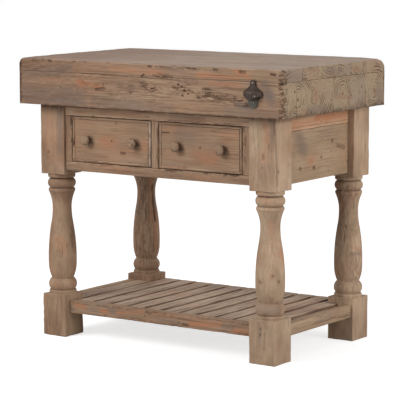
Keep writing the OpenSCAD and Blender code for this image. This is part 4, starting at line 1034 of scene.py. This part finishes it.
FACE_MARKS = [
    # Dirt in the seams beside the legs, and painted shadow under the block top
    *paint(face, "dark", (-350, 545, 350, 543, 26, 0.3), (-345, 715, -345, 575, 16, 0.3),
           (-359, 750, 359, 750, 8, 0.9), (-359, 750, -359, 535, 5, 0.85), (359, 750, 359, 535, 5, 0.85)),
    *paint(side, "dark", (-157, 750, -157, 535, 5, 0.6), (214, 750, 214, 535, 5, 0.6),
           (-157, 750, 214, 750, 18, 0.5), (-157, 710, 214, 710, 2.5, 0.5)),
    # Left drawer
    face(-183, 709, 7, depth=1.6, cool=0.3),
    face(-150, 703, 7, dark=0.45, depth=0.5, push=0.8),
    face(-195, 646, -165, 646, 30, warm=0.5, dark=0.1),
    face(-168, 646, 4.5, depth=0.5, dark=1.0, push=0.5),
    face(-131, 611, -118, 610, 6, depth=0.5, dark=1.0, push=0.7),
    face(-38, 640, 32, warm=0.6, dark=0.1),
    face(-17, 606, 4, depth=2.0, dark=1.0),
    # Right drawer
    face(15, 683, 55, 686, 2.6, depth=1.0, dark=1.0),
    face(170, 646, 4.2, depth=1.5, dark=1.0),
    face(160, 626, 215, 616, 34, warm=0.5, dark=0.08),
    face(95, 690, 130, 668, 34, cool=0.5, dark=0.06),
    *paint(face, "cool", (-320, 590, -190, 588, 18, 0.35), (-130, 582, -20, 580, 18, 0.3),
           (25, 588, 110, 584, 18, 0.35)),
    # Stiles, divider and rails, torn along their edges
    *[face(x, z + r, x, z - r, r, depth=1.2, dark=0.8) for x, z, r in (
        (-326, 711, 3), (-326, 674, 4), (-327, 640, 5), (15, 655, 4), (14, 622, 4), (14, 584, 3))],
    *[face(x - r, z, x + r, z, r, depth=1.2, dark=0.75) for x, z, r in (
        (-214, 571, 3), (-136, 570, 3), (96, 570, 5), (190, 569, 6), (262, 569, 4),
        (-240, 721, 3), (-120, 720, 3), (150, 721, 3), (240, 720, 3))],
    *paint(face, "rough", (-327, 715, -327, 580, 8, 2.2), (15, 715, 15, 575, 8, 2.2),
           (-24, 715, -24, 580, 8, 1.6), (-300, 571, -40, 571, 8, 1.4), (40, 570, 320, 569, 8, 2.4),
           (40, 721, 320, 721, 8, 1.4), (333, 715, 333, 575, 8, 1.4)),
    *paint(face, "warm", (-300, 735, -60, 738, 16, 0.3), (120, 556, 240, 555, 12, 0.6)),
    face(60, 738, 180, 735, 13, cool=0.5),
    # Right apron
    *paint(side, "warm", (30, 728, 205, 730, 19, 0.9), (-140, 716, 30, 718, 16, 0.55),
           (150, 728, 190, 722, 10, 1.0)),
    side(53, 717, 4.5, depth=0.5, dark=0.7, push=1),
    side(157, 725, 8, warm=1.0, dark=0.15),
    side(-75, 672, -50, 640, 34, cool=0.8, dark=0.2),
    side(-140, 690, -60, 688, 12, cool=0.5),
    side(-10, 601, -4, 599, 30, warm=0.75, light=0.5, push=1.2),
    side(-10, 598, -4, 596, 19, warm=1.1, dark=0.2),
    *[side(y, z, r, depth=0.8, dark=0.85, push=0.6) for y, z, r in (
        (-68, 581, 10), (10, 577, 9), (54, 606, 7), (119, 652, 8), (161, 631, 8), (182, 624, 10),
        (214, 578, 8), (95, 560, 6))],
    side(150, 634, 190, 624, 10, dark=0.6),
    # Front rail of the shelf
    *paint(rail, "warm", (-326, 105, -290, 103, 13, 0.9), (-222, 97, -204, 97, 15, 1.0),
           (-156, 100, -60, 112, 9, 0.9), (-18, 113, 70, 113, 8, 0.75), (120, 93, 235, 104, 12, 0.9),
           (286, 90, 345, 88, 13, 1.0)),
    *paint(rail, "cool", (-346, 90, -334, 88, 12, 0.7), (-262, 96, -238, 94, 12, 0.4),
           (0, 92, 80, 90, 12, 0.45)),
    *paint(rail, "dark", (-208, 84, 6, 0.9), (-46, 113, -30, 110, 5, 0.9), (94, 89, 114, 88, 5, 0.8)),
    rail(-190, 104, -174, 102, 13, cool=1.0, dark=0.1),
    rail(-156, 81, -144, 80, 5, warm=0.8, dark=0.5),
    rail(245, 100, 280, 100, 11, cool=0.6, dark=0.08),
    *paint(rail, "dark", (-52, 99, 4, 0.7), (78, 92, 4, 0.7), depth=0.5),
    *paint(rail, "rough", (-340, 116, 20, 116, 7, 1.2), (20, 116, 350, 116, 7, 1.2),
           (-150, 80, 350, 80, 7, 1.2)),
    rail(-312, 117, 3, depth=1.5, dark=1),
    # Grime on the slats at the right
    streak((320, 10, 118), (395, 130, 118), 75, warm=0.35, dark=0.22),
]


def make_frame():
    """The rails, stiles and divider of the front, and the apron boards."""
    parts = [("front_top_rail", X), ("front_bottom_rail", X), ("front_stile_left", Z),
             ("front_stile_right", Z), ("front_divider", Z)]
    parts += [(f"{end}_apron_{level}", grain) for end, grain in (("left", Y), ("right", Y), ("back", X))
              for level in ("upper", "lower")]
    # The top rail takes lighter tones as painted light
    other_tones = {"front_top_rail": LIT_RAIL_PINE, "right_apron_upper": UPPER_PINE}
    for seed, (node, grain) in enumerate(parts, 80):
        apron, smooth = "apron" in node, node.startswith("right")
        board(node, grain, "apron" if apron else "front_frame", FACE_MARKS, seed=seed,
              ease=(0.5 if apron else 1.2) * MM, box=visible(node, grain),
              tones=other_tones.get(node, SIDE_PINE if apron else PINE),
              warmth=1.0 if "upper" in node else 0.5, contrast=0.45 if smooth else 0.9,
              short=2.5 if smooth else 1.0, knots=0 if smooth or not apron else 4)


# The bead round a drawer front: its width, the spacing of its rings, how far its root lies behind
# the front's face, and how far its nose stands proud of it
BEAD_WIDE, BEAD_RINGS, BEAD_ROOT, BEAD_PROUD = 9 * MM, 6 * MM, 5 * MM, 1.5 * MM
BEAD_INSET = 0.1 * MM


def make_bead(name, node, start, along, inward, length, seed, tones):
    """A worn strip of the bead round a drawer front, mitred at both ends.

    start is the outer corner on the front's face; along and inward are unit vectors.
    """
    section = [(0, BEAD_ROOT), *[(w * BEAD_WIDE, BEAD_PROUD - 2 * BEAD_PROUD * 4 * w * (1 - w))
                                 for w in np.linspace(0, 1, 9)], (BEAD_WIDE, BEAD_ROOT)]
    steps = np.linspace(0, 1, round(length / BEAD_RINGS) + 1)
    points, _, faces = loft([np.array([start + along * (w + step * (length - 2 * w)) + inward * w + (0, y, 0)
                                       for w, y in section]) for step in steps])
    grain = int(np.argmax(np.abs(along)))
    worn = points.copy()
    chip = noise(points, grain_size(grain, 0.021, 0.012), seed)
    chip = unit(chip + 0.8 * noise(points, grain_size(grain, 0.09, 0.3), seed + 3) - 0.4)
    nose = points[:, Y] < start[Y] + 1.2 * MM
    worn[nose, Y] += (chip * 2.6 * MM + 0.3 * MM * (1 + noise(points, (0.01,) * 3, seed + 1)))[nose]
    rim = unit(np.abs((points - start) @ inward / BEAD_WIDE - 0.5) * 2.6 - 0.75)
    dirt_and_shade = rim * (0.7 + 0.5 * noise(points, grain_size(grain, 0.055, 0.03), seed + 2))
    tints = np.zeros((len(points), 6))
    tints[:, 0] = np.clip(np.maximum(dirt_and_shade, 1.2 * chip), 0, 0.95)
    tints[:, 5] = 0.5
    material = wood("wood_" + name, grain, (start[Y] + 0.02, 0.6), tones=tones, seed=seed * 0.41)
    make_piece(name, worn, faces, node, "drawer_bead", material, tints, 0.5 * (1 - rim))


def make_beads(hand, seed):
    """The four bead strips of a drawer front, each from the corner where it starts."""
    low, high = corners(hand + "_drawer_front")
    low, high = low + BEAD_INSET, high - BEAD_INSET
    wide, _, tall = high - low
    right, up = np.array([1.0, 0, 0]), np.array([0, 0, 1.0])
    for n, (place, x, z, along, inward, length) in enumerate((
            ("lower", low[X], low[Z], right, up, wide), ("right", high[X], low[Z], up, -right, tall),
            ("upper", high[X], high[Z], -right, -up, wide), ("left", low[X], high[Z], -up, right, tall))):
        # The right strip of the left drawer takes paler tones
        tones = PALE_PINE if (hand, place) == ("left", "right") else PINE
        make_bead(f"{hand}_drawer_bead_{place}", hand + "_drawer_bead", np.array([x, FACE_Y * MM, z]),
                  along, inward, length, seed + n, tones)


def knob_outline():
    """Outline of a knob in millimetres, as radius and height from the drawer front."""
    foot, head, reach, under, rim = 11.5, 17.3, 25.8, 14, 19
    return [(foot, -0.5), (foot, 0.3), *bow((foot - 0.2, 1.5), (head * 0.75, under), -3.5, 8),
            *bow((head * 0.75, under + 0.5), (head, rim), 1.2, 5),
            *bow((head, rim + 0.5), (1.5, reach), 2.6, 10)]


def make_knob(node, seed):
    """A turned knob, a little out of round and worn."""
    low, high = corners(node)
    centre = (low + high) / 2 * (1, 0, 1)
    rings = []
    for r, h in knob_outline():
        ring = round_ring(r * MM, FACE_Y * MM - h * MM)
        rings.append(np.column_stack([ring[:, X], ring[:, Z], ring[:, Y]]) + centre)
    points, _, faces = loft(rings)
    out = (points - centre) * (1, 0, 1)
    reach = np.maximum(np.linalg.norm(out, axis=1, keepdims=True), 1e-9)
    lumps = 0.5 + 0.5 * noise(points, (0.012, 0.03, 0.012), seed)
    flats = unit(np.cos(3.5 * np.arctan2(out[:, Z], out[:, X]) + seed))
    worn = points - out / reach * np.minimum(reach * 0.1, ((lumps + 0.8 * flats) * 0.9 * MM)[:, None])
    depth = FACE_Y * MM - points[:, Y]
    tints = np.zeros((len(points), 6))
    # Grime and painted shade on the neck and under the head
    tints[:, 0] = unit((18.5 * MM - depth) / (4 * MM)) * 0.95
    tints[:, 0] += unit(noise(points, (0.008,) * 3, seed + 2) - 0.45)
    tints[:, 1] = unit(noise(points, (0.02,) * 3, seed + 3)) * 0.5
    material = wood("wood_" + node, Y, (centre[X] + 0.03, centre[Z] + 0.02), tones=KNOB_PINE,
                    end_tones=KNOB_PINE, ring=2.5 * MM, seed=seed * 0.3, contrast=1.2)
    make_piece(node + "_worn", worn, faces, node, "knob", material, tints, unit(depth / (25 * MM)) ** 2)


def make_drawers():
    """The drawer fronts, their beads and their knobs."""
    for seed, hand in ((120, "left"), (130, "right")):
        node = hand + "_drawer_front"
        knobs = [f"{hand}_drawer_knob_{end}" for end in ("left", "right")]
        middles = [sum(corners(knob)) / 2 / MM for knob in knobs]
        # Painted shadows of the knobs on the drawer front, to the right of and below each knob
        dirt_and_shade = [face(at[X] + 6, at[Z] - 2, 19, dark=0.9) for at in middles]
        low, high = corners(node)
        board(node, X, "drawer_front", FACE_MARKS + dirt_and_shade, seed=seed, ease=0.3 * MM, wear=0.6 * MM, knots=0,
              cut=True, tones=DRAWER_PINE, contrast=0.65, short=1.5,
              pith=((low[Y] + high[Y]) / 2 + 0.03, (low[Z] + high[Z]) / 2 - 0.05))
        make_beads(hand, seed + 2)
        for n, knob in enumerate(knobs, 7):
            make_knob(knob, seed + n)


SLATS = 12
SLAT_WIDE = 53.5 * MM
SLAT_PITCH = 67.5 * MM
# The first slat lies between the feet of the left legs
FIRST_SLAT_Y = (-150 * MM, 213 * MM)
# How far the blocks between the slats lie below the slats' upper faces
SPACER_DROP = 1.5 * MM


def make_shelf():
    """The shelf's rails and slats, and the blocks between the slats over the back rail."""
    for seed, (end, grain, finish) in enumerate((
            ("front_rail", X, dict(knots=1, cut=True, wear=0.7 * MM)),
            ("back_rail", X, {}),
            ("rail_left", Y, dict(tones=SIDE_PINE, cut=True, wear=0.7 * MM)),
            ("rail_right", Y, dict(tones=SIDE_PINE, cut=True, wear=0.7 * MM))), 101):
        node = "shelf_" + end
        board(node, grain, "shelf_rail", FACE_MARKS, seed=seed, box=visible(node, grain), **finish)
    low, high = corners("shelf_slats")
    for n in range(SLATS):
        left = low[X] + n * SLAT_PITCH
        front_y, back_y = (low[Y], high[Y]) if n else FIRST_SLAT_Y
        # The slats' sides and undersides get painted shade
        board("shelf_slats", Y, "slat", FACE_MARKS, seed=140 + 5 * n, name=f"slat_{n + 1}_worn",
              box=(np.array([left, front_y, low[Z]]), np.array([left + SLAT_WIDE, back_y, high[Z]])),
              ease=1.6 * MM, wear=1.1 * MM, knots=n % 3, dents=5, tones=SLAT_PINE, bleach=0.35, contrast=2.0,
              warmth=0.6, cut=n == SLATS - 1, side_shade=0.8)
    rail_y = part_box("shelf_back_rail")[0].y
    for n in range(SLATS - 1):
        box = (np.array([low[X] + n * SLAT_PITCH + SLAT_WIDE, rail_y, low[Z]]),
               np.array([low[X] + (n + 1) * SLAT_PITCH, high[Y], high[Z] - SPACER_DROP]))
        board("shelf_slats", X, "shelf_rail", seed=210 + n, box=box, name=f"slat_spacer_{n + 1}",
              ease=0.5 * MM, wear=0.4 * MM, knots=0, dents=0)


FLOOR_REACH = 30.0
# Name, place, size and power of each lamp; both look at a point on the island
LAMPS = (("key", (-1.7, -3.6, 3.0), 2.0, 118), ("side", (4.7, -0.3, 1.6), 2.4, 104))
LAMP_AIM = Vector((0, 0, 0.5))


def make_stage():
    """A plain pale floor, a white surround and soft lamps."""
    scene = bpy.context.scene
    mesh = bpy.data.meshes.new("floor")
    signs = ((-1, -1), (1, -1), (1, 1), (-1, 1))
    mesh.from_pydata([(FLOOR_REACH * x, FLOOR_REACH * y, 0) for x, y in signs], [], [(0, 1, 2, 3)])
    floor = bpy.data.objects.new("floor", mesh)
    scene.collection.objects.link(floor)
    material = bpy.data.materials.new("floor")
    t = Tree(material)
    seen = t.add("LightPath").outputs["Is Camera Ray"]
    t.feed(t.shader, {
        "Base Color": (0.6, 0.6, 0.6, 1), "Roughness": 0.9, "Specular IOR Level": 0.1,
        "Emission Color": (1, 1, 1, 1), "Emission Strength": t.times(seen, 0.7)})
    mesh.materials.append(material)

    # The surround is white to the eye and dimmer as a light
    scene.world = bpy.data.worlds.new("studio")
    t = Tree(scene.world, "Background")
    rays = t.add("LightPath").outputs
    direct = t.plus(rays["Is Camera Ray"], rays["Is Glossy Ray"])
    clear = t.plus(direct, rays["Is Transmission Ray"], clamp=True)
    level = t.add("MapRange", {"Value": clear, "To Min": 0.45, "To Max": 1.0}).outputs[0]
    t.feed(t.shader, {"Color": (1, 1, 1, 1), "Strength": level})

    for name, place, size, power in LAMPS:
        lamp = bpy.data.lights.new(name, "AREA")
        lamp.size = size
        lamp.energy = power
        holder = bpy.data.objects.new(name, lamp)
        turn = (LAMP_AIM - Vector(place)).to_track_quat("-Z", "Y").to_matrix().to_4x4()
        holder.matrix_world = Matrix.Translation(place) @ turn
        scene.collection.objects.link(holder)
    scene.view_settings.view_transform = "Standard"


# Words in the names of the nodes inside the island that are of paler wood
INSIDE_WORDS = ("side", "drawer_back", "bottom", "runner", "kicker", "stops", "bearer")


def finish_cad_nodes():
    """Gives every CAD node that still shows a finish of its own."""
    inside = [wood(f"inside_pine_{axis}", axis, (0.3, 0.2), tones=INSIDE_PINE, seed=5 + axis, warmth=0.2,
                   coolness=0.2) for axis in range(3)]
    shown = [wood(f"shown_pine_{axis}", axis, (0.3, 0.2), seed=9 + axis) for axis in range(3)]
    # The cast iron has a painted highlight on the lip of the opener
    iron = metal("cast_iron", srgb(42, 31, 26), srgb(80, 63, 52), srgb(60, 41, 31), 0.3, 0.42,
                 patina=(srgb(78, 78, 70), 0.808), painted_glint=((0.414, -0.306, 0.820), srgb(198, 188, 180)))
    steel = metal("screw_steel", srgb(100, 92, 84), srgb(170, 164, 156), srgb(96, 76, 58), 0.8, 0.3)
    for node, piece in frame["nodes"].items():
        if piece.hide_render:
            continue
        low, high = corners(node)
        if node.endswith("opener"):
            material = iron
        elif "screws" in node:
            material = steel
        else:
            hidden = "rail" not in node and any(word in node for word in INSIDE_WORDS)
            material = (inside if hidden else shown)[np.argmax(high - low)]
        piece.data.materials.clear()
        piece.data.materials.append(material)


make_camera()
make_stage()
make_top()
make_legs()
make_frame()
make_drawers()
make_shelf()
finish_cad_nodes()
